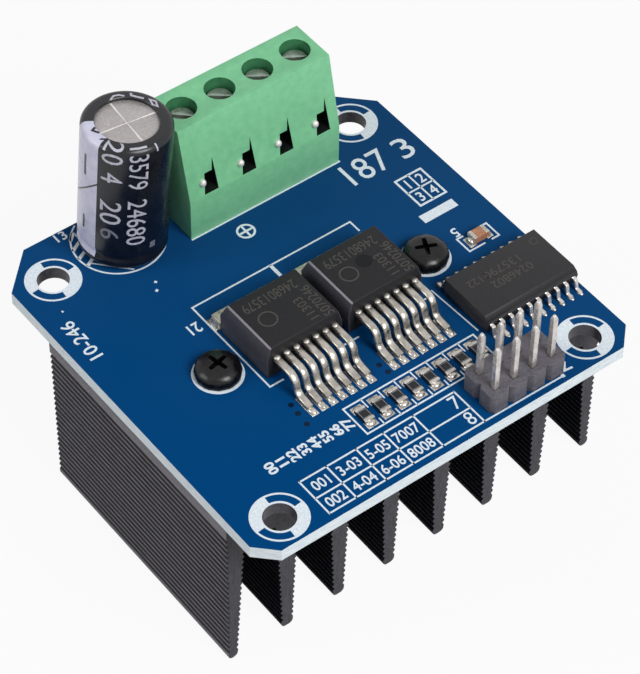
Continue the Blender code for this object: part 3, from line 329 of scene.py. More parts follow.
def turnedInto(bm, profile, centre=(0, 0, 0), steps=32, finish=0):
    before = set(bm.faces)
    centre = Vector(centre)
    verts = [bm.verts.new(centre + Vector((radius, 0, height))) for radius, height in profile]
    edges = [bm.edges.new(pair) for pair in zip(verts, verts[1:])]
    bmesh.ops.spin(
        bm, geom=verts + edges, cent=centre, axis=(0, 0, 1), dvec=(0, 0, 0),
        angle=math.tau, steps=steps, use_merge=True, use_duplicate=False,
    )
    skin = {vert for face in set(bm.faces) - before for vert in face.verts}
    bmesh.ops.remove_doubles(bm, verts=list(skin), dist=0.0005)
    made = [face for face in bm.faces if face not in before]
    bmesh.ops.recalc_face_normals(bm, faces=made)
    for face in made:
        face.material_index = finish
    return made


def arcPoints(centre, radius, start, end, steps):
    points = []
    for step in range(steps + 1):
        angle = math.radians(start + (end - start) * step / steps)
        points.append((centre[0] + radius * math.cos(angle), centre[1] + radius * math.sin(angle)))
    return points


def bentPath(corners, radius, steps):
    path = [Vector(corners[0])]
    for before, corner, after in zip(corners, corners[1:], corners[2:]):
        corner = Vector(corner)
        arriving = (Vector(before) - corner).normalized()
        leaving = (Vector(after) - corner).normalized()
        half = arriving.angle(leaving) / 2
        middle = corner + (arriving + leaving).normalized() * radius / math.sin(half)
        start = corner + arriving * radius / math.tan(half) - middle
        end = corner + leaving * radius / math.tan(half) - middle
        sweep = start.angle(end)
        for step in range(steps + 1):
            share = step / steps
            mixed = start * math.sin((1 - share) * sweep) + end * math.sin(share * sweep)
            path.append(middle + mixed / math.sin(sweep))
    path.append(Vector(corners[-1]))
    return path


def offsetPath(path, distance):
    moved = []
    for index, point in enumerate(path):
        ahead = path[min(index + 1, len(path) - 1)] - point
        behind = point - path[max(index - 1, 0)]
        along = (ahead.normalized() + behind.normalized()).normalized()
        turn = behind.angle(ahead) / 2 if behind.length and ahead.length else 0
        moved.append(point + Vector((-along.y, along.x)) * distance / math.cos(turn))
    return moved


def stripInto(bm, path, width, thickness, x, soften):
    rim = offsetPath(path, thickness / 2) + offsetPath(path, -thickness / 2)[::-1]
    plateInto(bm, [(x - width / 2, point.x, point.y) for point in rim], (width, 0, 0))
    caps = [face for face in bm.faces if len(face.verts) == len(rim) and abs(face.normal.x) > 0.9]
    softenEdges(bm, edgesAround(caps), soften)


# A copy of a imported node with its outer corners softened, and a finish chosen by where each face lies
def refine(node, name, finishes, soften, body="module", choose=None):
    bm = bmesh.new()
    bm.from_mesh(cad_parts[node].data)
    bmesh.ops.scale(bm, vec=(1 / mm, 1 / mm, 1 / mm), verts=bm.verts)
    bmesh.ops.remove_doubles(bm, verts=bm.verts, dist=0.002)
    bmesh.ops.dissolve_limit(bm, angle_limit=math.radians(1), verts=bm.verts, edges=bm.edges)
    corners = [edge for edge in bm.edges if edge.calc_face_angle_signed(0) > math.radians(30)]
    softenEdges(bm, corners, soften)
    if choose:
        for face in bm.faces:
            face.material_index = choose(face.calc_center_median())
    addPiece(name, bm, finishes, (node,), body)


# Print on the board: every mark is a flat shape first, then all are given the ink's thickness together

def bandInto(bm, centre, inner, outer, start=0, end=360, steps=48):
    near = [bm.verts.new((*point, 0)) for point in arcPoints(centre, inner, start, end, steps)]
    far = [bm.verts.new((*point, 0)) for point in arcPoints(centre, outer, start, end, steps)]
    for index in range(steps):
        bm.faces.new((near[index], far[index], far[index + 1], near[index + 1]))


def strokeInto(bm, points, width, closed=False):
    path = [Vector(point) for point in points]
    count = len(path)
    rows = []
    for index, point in enumerate(path):
        before = path[index - 1] if closed or index else None
        after = path[(index + 1) % count] if closed or index < count - 1 else None
        arriving = (point - before).normalized() if before is not None else (after - point).normalized()
        leaving = (after - point).normalized() if after is not None else arriving
        along = (arriving + leaving).normalized()
        reach = width / 2 / max(along.dot(leaving), 0.3)
        side = Vector((-along.y, along.x)) * reach
        rows.append((bm.verts.new((*(point + side), 0)), bm.verts.new((*(point - side), 0))))
    pairs = list(zip(rows, rows[1:]))
    if closed:
        pairs.append((rows[-1], rows[0]))
    for first, second in pairs:
        bm.faces.new((first[0], first[1], second[1], second[0]))


def frameInto(bm, box, width):
    left, right, front, back = box
    strokeInto(bm, [(left, front), (right, front), (right, back), (left, back)], width, closed=True)


def digitMesh(text, height, stretch, bold, length):
    curve = bpy.data.curves.new("digits", "FONT")
    curve.body = text
    curve.size = 1.0
    curve.offset = bold
    curve.resolution_u = 3
    holder = bpy.data.objects.new("digits", curve)
    scene.collection.objects.link(holder)
    graph = bpy.context.evaluated_depsgraph_get()
    mesh = bpy.data.meshes.new_from_object(holder.evaluated_get(graph))
    bpy.data.objects.remove(holder)
    bpy.data.curves.remove(curve)
    low = Vector([min(vert.co[axis] for vert in mesh.vertices) for axis in range(3)])
    high = Vector([max(vert.co[axis] for vert in mesh.vertices) for axis in range(3)])
    size = height / (high.y - low.y)
    wide = length / (high.x - low.x) if length else size * stretch
    middle = (low + high) / 2
    mesh.transform(Matrix.Diagonal((wide, size, 1, 1)) @ Matrix.Translation(-middle))
    return mesh


def digitsInto(bm, text, spot, height, turn=0, stretch=1.0, bold=0.0, length=0.0):
    mesh = digitMesh(text, height, stretch, bold, length)
    mesh.transform(Matrix.Translation((*spot, 0)) @ Matrix.Rotation(math.radians(turn), 4, "Z"))
    bm.from_mesh(mesh)
    bpy.data.meshes.remove(mesh)


def inkUp(bm, level, thickness):
    bmesh.ops.translate(bm, vec=(0, 0, level), verts=bm.verts)
    thicken(bm, bm.faces[:], (0, 0, -thickness))
    bmesh.ops.recalc_face_normals(bm, faces=bm.faces)


# Circuit board

board = {
    "frontCut": 2.3, "backCut": 4.6, "mountRadius": 1.8, "mountSide": 4.7, "mountFront": 3.55, "mountBack": 5.65,
    "screwRadius": 1.6, "pinRadius": 0.5, "legRadius": 0.7, "leadRadius": 0.45, "holeSteps": 40,
}
mountX = boardHigh.x - board["mountSide"]
mountPlaces = [
    (side * mountX, y)
    for side in (-1, 1)
    for y in (boardLow.y + board["mountFront"], boardHigh.y - board["mountBack"])
]
sinkScrewPlaces = [nodeMiddle(f"heatsink_screw_{side}").xy for side in sides]
headerPlaces = [nodeMiddle(f"header_pin_{number}").xy for number in headerPins]
poleX = [nodeMiddle(f"terminal_pin_{pole}").x for pole in poles]
bladeThickness = 0.6
legY = nodeBox("terminal_pin_1")[0].y + bladeThickness / 2
capacitorSeat = Vector((-11.0, 19.7, boardTop))
capacitorLeadPitch = 5.0
capacitorLeadPlaces = [(capacitorSeat.x + side * capacitorLeadPitch / 2, capacitorSeat.y) for side in (-1, 1)]


def holeList():
    holes = [(x, y, board["mountRadius"]) for x, y in mountPlaces]
    holes += [(x, y, board["screwRadius"]) for x, y in sinkScrewPlaces]
    holes += [(x, y, board["pinRadius"]) for x, y in headerPlaces]
    holes += [(x, legY, board["legRadius"]) for x in poleX]
    holes += [(x, y, board["leadRadius"]) for x, y in capacitorLeadPlaces]
    return holes


def boardOutline():
    left, right, front, back = boardLow.x, boardHigh.x, boardLow.y, boardHigh.y
    nearCut, farCut = board["frontCut"], board["backCut"]
    return [
        (left + nearCut, front), (right - nearCut, front), (right, front + nearCut), (right, back - farCut),
        (right - farCut, back), (left + farCut, back), (left, back - farCut), (left, front + nearCut),
    ]


def makeBoard():
    bm = bmesh.new()
    rim = [bm.verts.new((x, y, boardTop)) for x, y in boardOutline()]
    edges = [bm.edges.new(pair) for pair in zip(rim, rim[1:] + rim[:1])]
    holes = holeList()
    for x, y, radius in holes:
        spot = Matrix.Translation((x, y, boardTop))
        ring = bmesh.ops.create_circle(bm, radius=radius, segments=board["holeSteps"], matrix=spot)["verts"]
        edges += edgesAround(ring)
    sheet = bmesh.ops.triangle_fill(bm, use_beauty=True, use_dissolve=False, edges=edges)["geom"]
    thicken(bm, facesOf(sheet), (0, 0, boardLow.z - boardTop))
    bmesh.ops.recalc_face_normals(bm, faces=bm.faces)
    for face in bm.faces:
        if abs(face.normal.z) > 0.5:
            continue
        middle = face.calc_center_median()
        inHole = any(math.hypot(middle.x - x, middle.y - y) < radius + 0.05 for x, y, radius in holes)
        # hole walls take the painted shade, and the outer edge takes the laminate's own colour
        face.material_index = 2 if inHole else 1
    addPiece("board_laminate", bm, [maskBlue, edgeLaminate, shadedHoleWall], ("circuit_board",))


# Places are from the board's middle. A ring has its inner and outer radius and may have the degrees where it starts
# and ends, and a frame has its left, right, front and back
marks = {
    "level": 0.03, "ink": 0.04, "line": 0.2,
    "mount": ((2.92, 3.15), (1.8, 2.05), (2.05, 2.92, 85, 185, 18), (2.05, 2.92, 265, 365, 18)),
    "screw": ((2.2, 2.85),), "rings": (((0.7, 12.75), 0.85, 1.1), ((-11.15, 20.2), 5.15, 5.35, 121, 419, 72)),
    "frames": (((-6.48, 11.0, -18.15, -14.0), 0.2), ((18.5, 22.1, 4.3, 8.9), 0.26)),
    "tableX": (-16.0, -12.55, -8.7, -5.13, -1.2, 4.3), "tableY": (-19.05, -21.75, -24.1),
    "cells": ((-20.4, "001", "3-03", "5-05", "7007"), (-22.93, "002", "4-04", "6-06", "8008")),
    "cellHeight": 1.35, "cellStretch": 0.86, "cellBold": 0.012,
}
marks["strokes"] = [      # width, then the places that the stroke runs through
    (0.2, (-8.9, -6.95), (-10.7, -6.95), (-10.7, 7.03), (10.7, 7.03), (10.7, 5.33)),      # round the drivers
    (0.2, (-1.1, -6.95), (1.1, -6.95)),
    (0.2, (9.2, -6.95), (10.7, -6.95), (10.7, -5.55)),
    (0.416, (-0.25, 7.03), (-0.25, 5.13)),
    (0.16, (11.45, -6.3), (11.8, -13.9)),
    (0.2, (4.3, -24.1), (14.7, -24.2)),      # in front of the header
    (0.42, (14.7, -24.2), (15.1, -24.2)),
    (0.26, (16.3, -22.75), (15.5, -23.75), (16.5, -23.86)),
    (0.2, (-4.85, 15.2), (15.5, 15.2), (15.5, 16.2)),      # along the terminal block
    (0.26, (-0.15, 12.75), (1.55, 12.75)),      # the plus in its ring
    (0.26, (0.7, 11.9), (0.7, 12.62)),
    (0.26, (0.7, 12.88), (0.7, 13.6)),
    (0.2, (18.5, 6.6), (22.1, 6.6)),      # between the four numbered panes
    (0.2, (20.3, 4.3), (20.3, 8.9)),
    (1.25, (17.25, 2.5), (21.9, 2.5)),      # solid bar
    (0.16, (-15.6, 18.9), (-12.4, 15.4)),      # round the capacitor
    (0.16, (-14.6, 17.9), (-14.6, 23.7)),
    (0.4, (-16.21, 18.8), (-14.6, 19.7)),
    (0.4, (-16.4, 20.2), (-14.6, 21.1)),
    (0.4, (-16.21, 21.6), (-14.6, 22.5)),
    (0.4, (-15.591, 23.0), (-14.6, 23.9)),
    (0.3, (-12.4, 11.3), (-12.1, 11.45)),
    (0.3, (-11.75, 12.4), (-11.5, 12.55)),
    (0.2, (20.64, -4.35), (18.44, -4.35), (18.44, -2.1), (19.34, -2.1)),      # round the ceramic chip
    (0.2, (21.14, -2.1), (22.6, -2.1), (22.6, -4.35), (21.54, -4.35)),
    (0.24, (-22.2, 14.9), (-22.0, 14.9)),
]
marks["digits"] = [      # text, place, height, turn, stretch, boldness, and a length where that sets the stretch
    ("187", (17.4, 12.75), 3.4, 0, 1, 0, 5.6), ("3", (22.6, 12.6), 3.2, 0, 1, 0, 1.9),
    ("7", (3.45, -20.25), 1.75, 0, 0.9), ("8", (3.35, -22.85), 1.75, 0, 0.9),
    ("1", (19.4, 7.75), 1.45, 0, 0.9, 0.01), ("2", (21.2, 7.75), 1.45, 0, 0.9, 0.01),
    ("3", (19.4, 5.45), 1.45, 0, 0.9, 0.01), ("4", (21.2, 5.45), 1.45, 0, 0.9, 0.01),
    ("13", (-16.05, 24.25), 1.3, 0, 1, 0.012), ("21", (-12.2, 4.45), 1.5, 180, 0.85, 0.012),
    ("5", (18.95, -1.2), 1.35, 180, 1, 0.012), ("10-246", (-22.85, 10.3), 1.65, 90, 1.02, 0.008),
]
for number in range(8):      # a pair of digits for each resistor
    marks["digits"].append((f"{number}{number}", (-17.2 + number * 1.41, -15.85), 1.15, 90, 1.1, 0.035))
for number in range(7):      # two ticks between each resistor and the next
    x = -4.2 + number * 2.17
    marks["strokes"] += [(0.16, (x, -14.0), (x, -15.35)), (0.16, (x, -18.15), (x, -17.15))]


def ringMarks(bm):
    for places, rows in ((mountPlaces, marks["mount"]), (sinkScrewPlaces, marks["screw"])):
        for place in places:
            for row in rows:
                bandInto(bm, place, *row)
    for row in marks["rings"]:
        bandInto(bm, *row)


def pinTable(bm):
    columns, rows, line = marks["tableX"], marks["tableY"], marks["line"]
    for y in rows:
        strokeInto(bm, [(columns[0], y), (columns[-1], y)], line)
    for x in columns:
        strokeInto(bm, [(x, rows[0] + line / 2), (x, rows[-1] - line / 2)], line)
    for y, *texts in marks["cells"]:
        for text, left, right in zip(texts, columns, columns[1:]):
            spot = ((left + right) / 2, y)
            digitsInto(bm, text, spot, marks["cellHeight"], 0, marks["cellStretch"], marks["cellBold"])


def makePrint():
    bm = bmesh.new()
    ringMarks(bm)
    pinTable(bm)
    for row in marks["frames"]:
        frameInto(bm, *row)
    for width, *places in marks["strokes"]:
        strokeInto(bm, places, width)
    for row in marks["digits"]:
        digitsInto(bm, *row)
    inkUp(bm, boardTop + marks["level"], marks["ink"])
    addPiece("board_print", bm, [printWhite])


vias = {      # each is a low rim with a plug in it, both given as radius and height
    "places": ((-10.44, -10.25), (-10.55, -11.62), (-10.67, -13.31), (0.35, -11.4), (0.5, -12.7)),
    "rim": [(0.18, 0.004), (0.24, 0.02), (0.3, 0.02), (0.36, -0.01), (0.18, -0.01), (0.18, 0.004)],
    "plug": [(0, 0.008), (0.2, 0.006), (0.2, -0.01), (0, -0.01)],
}


def makeVias():
    bm = bmesh.new()
    for x, y in vias["places"]:
        turnedInto(bm, vias["rim"], (x, y, boardTop), 20, finish=1)
        turnedInto(bm, vias["plug"], (x, y, boardTop), 16, finish=1)
    addPiece("tented_vias", bm, [maskBlue, maskDark])


makeBoard()
makePrint()
makeVias()
print("board made")


# Heatsink: the extrusion's profile with round ridges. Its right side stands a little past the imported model's

sink = {
    "fins": 8, "base": 4.0, "root": 2.9, "tip": 1.5, "edgeRoot": 2.3, "edgeTip": 1.2, "overhang": 0.8,
    "pitch": 0.86, "depth": 0.27, "steps": 6, "crest": 1.4, "outerRidges": 23, "innerRidges": 19, "tipMargin": 0.9,
    "tipRadius": 0.55, "tipTurns": (10, 30, 50, 70, 85), "fillet": 0.45, "filletTurns": (0.35, 0.8, 1.2),
}


def finSide(height, ridges, root, tip):      # root and tip are how far the side stands from the fin's middle
    side = []
    for step in range(ridges * sink["steps"], -1, -1):
        z = sink["tipMargin"] + step * sink["pitch"] / sink["steps"]
        wave = (1 - math.cos(math.tau * step / sink["steps"])) / 2
        reach = tip + (root - tip) * min(z / height, 1)
        side.append((reach - sink["depth"] * wave ** sink["crest"], z))
    radius = sink["tipRadius"]
    for angle in sink["tipTurns"]:
        turn = math.radians(angle)
        side.append((tip - radius + radius * math.cos(turn), radius - radius * math.sin(turn)))
    return side


def makeHeatsink():
    low, high = nodeBox("heatsink")
    height = high.z - low.z - sink["base"]
    right, last = high.x + sink["overhang"], sink["fins"] - 1
    half, edgeHalf = sink["root"] / 2, sink["edgeRoot"] / 2
    gap = (right - low.x - 2 * sink["edgeRoot"] - (last - 1) * sink["root"]) / last
    middles = [low.x + sink["edgeRoot"] - half + fin * (gap + sink["root"]) for fin in range(sink["fins"])]
    middles[0], middles[last] = low.x + edgeHalf, right - edgeHalf
    outside = finSide(height, sink["outerRidges"], edgeHalf, edgeHalf)
    inward = finSide(height, sink["innerRidges"], edgeHalf, sink["edgeTip"] - edgeHalf)
    between = finSide(height, sink["innerRidges"], half, sink["tip"] / 2)
    fillet = sink["fillet"]
    bend = [(fillet * (1 - math.sin(turn)), fillet * (1 - math.cos(turn))) for turn in sink["filletTurns"]]
    profile = [(low.x, high.z)]
    for fin, middle in enumerate(middles):
        root = edgeHalf if fin in (0, last) else half
        inner = [(root + across, low.z + height - down) for across, down in bend]
        leftSide = {0: outside, last: inward}.get(fin, between)
        rightSide = {0: inward, last: outside}.get(fin, between)
        if fin:
            profile += [(middle - across, z) for across, z in inner]
        profile += [(middle - across, low.z + z) for across, z in leftSide]
        profile += [(middle + across, low.z + z) for across, z in reversed(rightSide)]
        if fin < last:
            profile += [(middle + across, z) for across, z in reversed(inner)]
    profile.append((right, high.z))
    bm = bmesh.new()
    plateInto(bm, [(x, low.y, z) for x, z in profile], (0, high.y - low.y, 0))
    for face in bm.faces:
        spot = face.calc_center_median()
        inset = min(spot.x - low.x, right - spot.x)
        if abs(face.normal.y) > 0.9:
            face.material_index = 1
        # faces between the fins: painted shade
        elif inset > sink["edgeTip"] / 2:
            face.material_index = 2
        # grooves on the outer sides get painted shade, and the crests keep the lighter copy, a painted highlight
        elif inset > sink["depth"] * 0.4 and spot.z > low.z + sink["tipMargin"]:
            face.material_index = 3
    finishes = [sinkLitRidge, sinkEnd, sinkShadedInner, sinkShadedGroove]
    addPiece("finned_extrusion", bm, finishes, ("heatsink",), sharp=50)


makeHeatsink()
dressNode("thermal_pad", padGrey)
print("heatsink made")


# Pan head screws with a cross recess. Heights are from the seat under the head

panScrew = {
    "radius": 2.6, "rim": 0.7, "height": 1.9, "dome": (0.62, 0.76, 0.88, 0.96, 1.0), "domePower": 2.6,
    "shank": 1.4, "arm": 1.25, "slot": 0.28, "waist": 0.95, "end": 0.8, "depth": 0.9,
    "recessFloor": 0.7, "lip": 0.12,
}


def ringVerts(bm, points, z):
    verts = [bm.verts.new((x, y, z)) for x, y in points]
    for pair in zip(verts, verts[1:] + verts[:1]):
        bm.edges.new(pair)
    return verts


def bridge(bm, first, second):
    loops = [edge for edge in edgesAround(first) if all(vert in first for vert in edge.verts)]
    loops += [edge for edge in edgesAround(second) if all(vert in second for vert in edge.verts)]
    bmesh.ops.bridge_loops(bm, edges=loops)


def crossPoints(turn):      # five corners to each of the four arms
    arm, half = panScrew["arm"], panScrew["slot"]
    waist, end, middle = half * panScrew["waist"], half * panScrew["end"], (half + arm) / 2
    corners = ((half, half), (waist, middle), (end, arm), (-end, arm), (-waist, middle))
    spins = [Matrix.Rotation(turn + quarter * math.pi / 2, 2) for quarter in range(4)]
    return [spin @ Vector(corner) for spin in spins for corner in corners]


def makePanScrew(side, turn):
    low, high = nodeBox(f"heatsink_screw_{side}")
    spot = (low + high) / 2
    radius, rim, height = (panScrew[key] for key in ("radius", "rim", "height"))
    seat = high.z - height
    levels = []
    for share in panScrew["dome"]:
        levels.append((radius * share, rim + (height - rim) * math.sqrt(1 - share ** panScrew["domePower"])))
    levels += [(radius - 0.03, 0.12), (radius - 0.15, 0)]
    levels += [(panScrew["shank"], z) for z in (0, low.z - seat)]
    bm = bmesh.new()
    cross = crossPoints(turn)
    angles = [math.atan2(y, x) for x, y in cross]
    top = levels[0][1]
    loops = [ringVerts(bm, [point * panScrew["recessFloor"] for point in cross], top - panScrew["depth"])]
    loops.append(ringVerts(bm, cross, top + panScrew["lip"]))
    for reach, z in levels:
        loops.append(ringVerts(bm, [(reach * math.cos(angle), reach * math.sin(angle)) for angle in angles], z))
    for first, second in zip(loops, loops[1:]):
        bridge(bm, first, second)
    bm.faces.new(loops[0])
    bm.faces.new(loops[-1])
    bmesh.ops.recalc_face_normals(bm, faces=bm.faces)
    bmesh.ops.translate(bm, vec=(spot.x, spot.y, seat), verts=bm.verts)
    addPiece(f"pan_screw_{side}", bm, [screwBlack], (f"heatsink_screw_{side}",), sharp=30)


makePanScrew("left", math.radians(12))
makePanScrew("right", math.radians(-25))
print("sink screws made")


# Electrolytic capacitor, which leans a little. Heights are from the board, and bearings run round the can

can = {
    "radius": 5.0, "height": 18.0, "standoff": 0.7, "skin": 0.12, "opening": 3.5, "edge": 0.75, "foot": 4.1,
    "crimp": 2.2, "crimpDepth": 0.16, "crimpReach": 0.75, "crimpPower": 1.5, "steps": 120, "lean": (1.3, 3.9),
    "stripe": (150, 199), "stripeFoot": 1.35, "disc": 17.6, "discEdge": 0.15, "discDepth": 0.8,
    "scoreTurn": -4, "scoreDepth": 0.07, "scoreOuter": 0.15, "scoreInner": 0.06, "bung": 4.06, "bungTop": 1.6,
}
canLean = Euler((math.radians(can["lean"][0]), math.radians(can["lean"][1]), 0)).to_matrix().to_4x4()
canPlace = Matrix.Translation(capacitorSeat) @ canLean


def sleeveProfile():
    radius, top, bottom, edge = (can[key] for key in ("radius", "height", "standoff", "edge"))
    points = [(can["opening"], can["disc"] - 0.3), (can["opening"], top - 0.05), (can["opening"] + 0.05, top)]
    points += arcPoints((radius - edge, top - edge), edge, 90, 0, 6)
    for step in range(-4, 5):
        share = step / 4
        pinch = can["crimpDepth"] * math.cos(share * math.pi / 2) ** can["crimpPower"]
        points.append((radius - pinch, can["crimp"] - share * can["crimpReach"]))
    points += [(radius, bottom + 0.35), (radius - 0.1, bottom + 0.1), (radius - 0.35, bottom)]
    points += [(can["foot"], bottom), (can["foot"], bottom + can["skin"])]
    return points


def makeSleeve():
    bm = bmesh.new()
    profile = sleeveProfile()
    inner = can["radius"] - can["crimpDepth"] - can["skin"]
    closing = [(inner, 0.6), (inner, can["disc"] - 0.3), profile[0]]
    made = turnedInto(bm, profile + closing, steps=can["steps"])
    start, end = can["stripe"]
    for face in made:
        middle = face.calc_center_median()
        angle = math.degrees(math.atan2(middle.y, middle.x)) % 360
        outside = math.hypot(middle.x, middle.y) > can["opening"] + 0.02 and middle.z > can["stripeFoot"]
        outside = outside and face.normal.dot(Vector((middle.x, middle.y, 3))) > 0
        if outside and start < angle < end:
            face.material_index = 1
    bmesh.ops.transform(bm, matrix=canPlace, verts=bm.verts)
    addPiece("shrunk_sleeve", bm, [sleeveBlack, sleeveStripe], ("capacitor_sleeve",))


# Print on the sleeve. Each row gives what its function takes after the mesh, and finish 0 is grey, 1 black, 2 worn
sleeveMarks = {
    "ink": 0.03, "sunk": 0.005, "bends": 9,
    "digits": [      # text, bearing, rise, height, length, finish
        ("20", 217, 17.5, 2.4, 3.0), ("4", 217, 14.0, 2.4, 1.4), ("20", 217, 8.9, 2.4, 3.3),
        ("6", 217, 5.7, 2.1, 1.5, 2), ("13579", 250.5, 15.45, 2.15, 5.8), ("24680", 250.5, 7.6, 2.15, 6.6),
    ],
    "rim": [      # bearing and reach of each place, width, closed, finish
        (((86, 3.5), (77, 3.93), (68, 3.93), (60, 3.7)), 0.22),
        (((50, 4.2), (49, 3.85), (39, 3.75), (28, 3.83)), 0.26),
        (((19, 4.03), (8, 3.65), (0, 3.9), (10, 4.25)), 0.2, True),
        (((166, 3.6), (171, 4.05), (181, 3.6)), 0.28, False, 1),
    ],
    "bars": [      # bearing, rise, width, height, finish, slope
        (176, 13.9, 0.34, 2.9, 1), (176, 5.6, 0.34, 1.8, 1), (177.5, 10.6, 3.9, 0.24, 1, 0.95),
        (196, 18.75, 0.7, 0.3, 1, 0.6), (275, 17.75, 0.2, 0.95, 0), (274, 3.6, 0.7, 0.8, 2),
    ],
}


def onSkin(rise, lift):      # radius and height of a place on the sleeve, past the shoulder too
    radius, top, edge = can["radius"], can["height"], can["edge"]
    turn = (rise - top + edge) / edge
    if turn <= 0:
        return radius + lift, rise
    if turn < math.pi / 2:
        return radius - edge + (edge + lift) * math.cos(turn), top - edge + (edge + lift) * math.sin(turn)
    return radius - edge * (1 + turn - math.pi / 2), top + lift


def wrapped(bm, bearing, rise, turn):
    bmesh.ops.rotate(bm, matrix=Matrix.Rotation(math.radians(turn), 3, "Z"), verts=bm.verts)
    for step in range(sleeveMarks["bends"]):      # cuts where the print bends over the shoulder
        level = can["height"] - can["edge"] * (1 - step * math.pi / 16) - rise
        parts = bm.verts[:] + bm.edges[:] + bm.faces[:]
        bmesh.ops.bisect_plane(bm, geom=parts, plane_co=(0, level, 0), plane_no=(0, 1, 0))
    bmesh.ops.triangulate(bm, faces=bm.faces)
    bmesh.ops.subdivide_edges(bm, edges=bm.edges, cuts=1)
    thicken(bm, bm.faces[:], (0, 0, sleeveMarks["ink"]))
    bmesh.ops.recalc_face_normals(bm, faces=bm.faces)
    for vert in bm.verts:
        angle = math.radians(bearing) + vert.co.x / can["radius"]
        reach, height = onSkin(rise + vert.co.y, vert.co.z - sleeveMarks["sunk"])
        vert.co = Vector((reach * math.cos(angle), reach * math.sin(angle), height))


def joinInto(target, bm, finish):
    for face in bm.faces:
        face.material_index = finish
    mesh = bpy.data.meshes.new("joined")
    bm.to_mesh(mesh)
    bm.free()
    target.from_mesh(mesh)
    bpy.data.meshes.remove(mesh)


def wrapDigits(target, text, bearing, rise, height, length, finish=0):
    bm = bmesh.new()
    digitsInto(bm, text, (0, 0), height, length=length)
    wrapped(bm, bearing, rise, -90)
    joinInto(target, bm, finish)


def wrapBar(target, bearing, rise, width, height, finish, slope=0.0):
    bm = bmesh.new()
    bmesh.ops.create_grid(bm, x_segments=8, y_segments=1, size=0.5)
    bmesh.ops.scale(bm, vec=(width, height, 1), verts=bm.verts)
    for vert in bm.verts:
        vert.co.y += vert.co.x * slope
    wrapped(bm, bearing, rise, 0)
    joinInto(target, bm, finish)


def rimStroke(target, places, width, closed=False, finish=0):
    bm = bmesh.new()
    points = [arcPoints((0, 0), reach, bearing, bearing, 1)[0] for bearing, reach in places]
    strokeInto(bm, points, width, closed)
    inkUp(bm, can["height"] + sleeveMarks["ink"] - sleeveMarks["sunk"], 0.04)
    joinInto(target, bm, finish)


def makeSleevePrint():
    bm = bmesh.new()
    for kind, draw in (("digits", wrapDigits), ("rim", rimStroke), ("bars", wrapBar)):
        for row in sleeveMarks[kind]:
            draw(bm, *row)
    bmesh.ops.transform(bm, matrix=canPlace, verts=bm.verts)
    addPiece("sleeve_print", bm, [sleeveInk, sleeveBlack, sleeveFaint])


def makeCan():
    bm = bmesh.new()
    disc, depth, reach = can["disc"], can["scoreDepth"], can["opening"] + can["discEdge"]
    floor, under = disc - depth, disc - can["discDepth"]
    # the disc under the quarters shows in the scored cross and has the painted highlight
    turnedInto(bm, [(0, floor), (reach + 0.1, floor), (reach + 0.1, under), (0, under)], steps=72, finish=2)
    away = math.degrees(math.asin(can["scoreOuter"] / reach))
    for quarter in range(4):      # four raised quarters leave the scored cross between them
        turn = can["scoreTurn"] + 90 * quarter
        arc = arcPoints((0, 0), reach, turn + away, turn + 90 - away, 18)
        corner = Matrix.Rotation(math.radians(turn), 2) @ Vector((can["scoreInner"], can["scoreInner"]))
        plateInto(bm, [(x, y, floor - 0.02) for x, y in [tuple(corner)] + arc], (0, 0, depth + 0.02), 0.03)
    foot, top, radius = can["standoff"] + can["skin"], can["bungTop"], can["bung"]
    turnedInto(bm, [(0, foot), (radius, foot), (radius, top), (0, top)], steps=48, finish=1)
    bmesh.ops.transform(bm, matrix=canPlace, verts=bm.verts)
    finishes = [canTop, bungBlack, scoreHighlight]
    addPiece("scored_can", bm, finishes, ("capacitor_can", "capacitor_bung"))


makeSleeve()
makeSleevePrint()
makeCan()
for name in ("capacitor_lead_negative", "capacitor_lead_positive"):
    dressNode(name, tinBright)
print("capacitor made")


# Terminal block, whose front leans back above a step

block = {
    "soften": 0.15, "wall": 0.14, "backWall": 1.8, "step": 5.5, "setback": 2.05, "chamberTop": 10.4,
    "nub": (-0.62, 0.35, 7.35), "nubBead": (0.42, (1, 1, 1.15), 20, 12),
    "screwSoften": 0.08, "cageSoften": 0.06, "bladeSoften": 0.05,
}


def makeBlock():
    low, high = nodeBox("terminal_housing")
    wall = block["wall"]
    lean = block["setback"] / (high.z - boardTop - block["step"])

    # Inside faces get painted shade, a darker green in the wells and near black in the chambers. The bevels along the
    # top get a painted highlight
    def skinShadeOrHighlight(point):
        face = low.y + max(point.z - boardTop - block["step"], 0) * lean
        hidden = face + wall < point.y < high.y - block["backWall"] and low.z + wall < point.z < high.z - wall
        if hidden and low.x + wall < point.x < high.x - wall:
            return 2 if point.z < boardTop + block["chamberTop"] else 1
        return 3 if high.z - block["soften"] < point.z < high.z - 0.002 else 0

    finishes = [blockGreen, wellShadeGreen, hollowShade, blockHighlight]
    refine("terminal_housing", "moulded_block", finishes, block["soften"], choose=skinShadeOrHighlight)
    # a bump of the clamp at each window, in a near white finish that paints its glint
    bm = bmesh.new()
    across, inwards, up = block["nub"]
    for x in poleX:
        beadInto(bm, (x + across, low.y + inwards, boardTop + up), *block["nubBead"])
    addPiece("window_nubs", bm, [nubGlint], sharp=80)
    kinds = (
        ("terminal_screw", "slotted_screw", screwZinc, "zinc_steel", block["screwSoften"], "screw_"),
        ("terminal_clamp", "rising_cage", clampNickel, "nickel_brass", block["cageSoften"], "clamp_"),
        ("terminal_pin", "folded_blade", tinBright, "tinned_copper", block["bladeSoften"], None),
    )
    for pole in poles:
        for node, name, finish, slot, soften, body in kinds:
            rides = f"{body}{pole}" if body else "module"
            refine(f"{node}_{pole}", f"{name}_{pole}", [finish], soften, rides)


makeBlock()
print("terminal block made")


# Pin header

header = {"soften": 0.08, "pinSoften": 0.06}


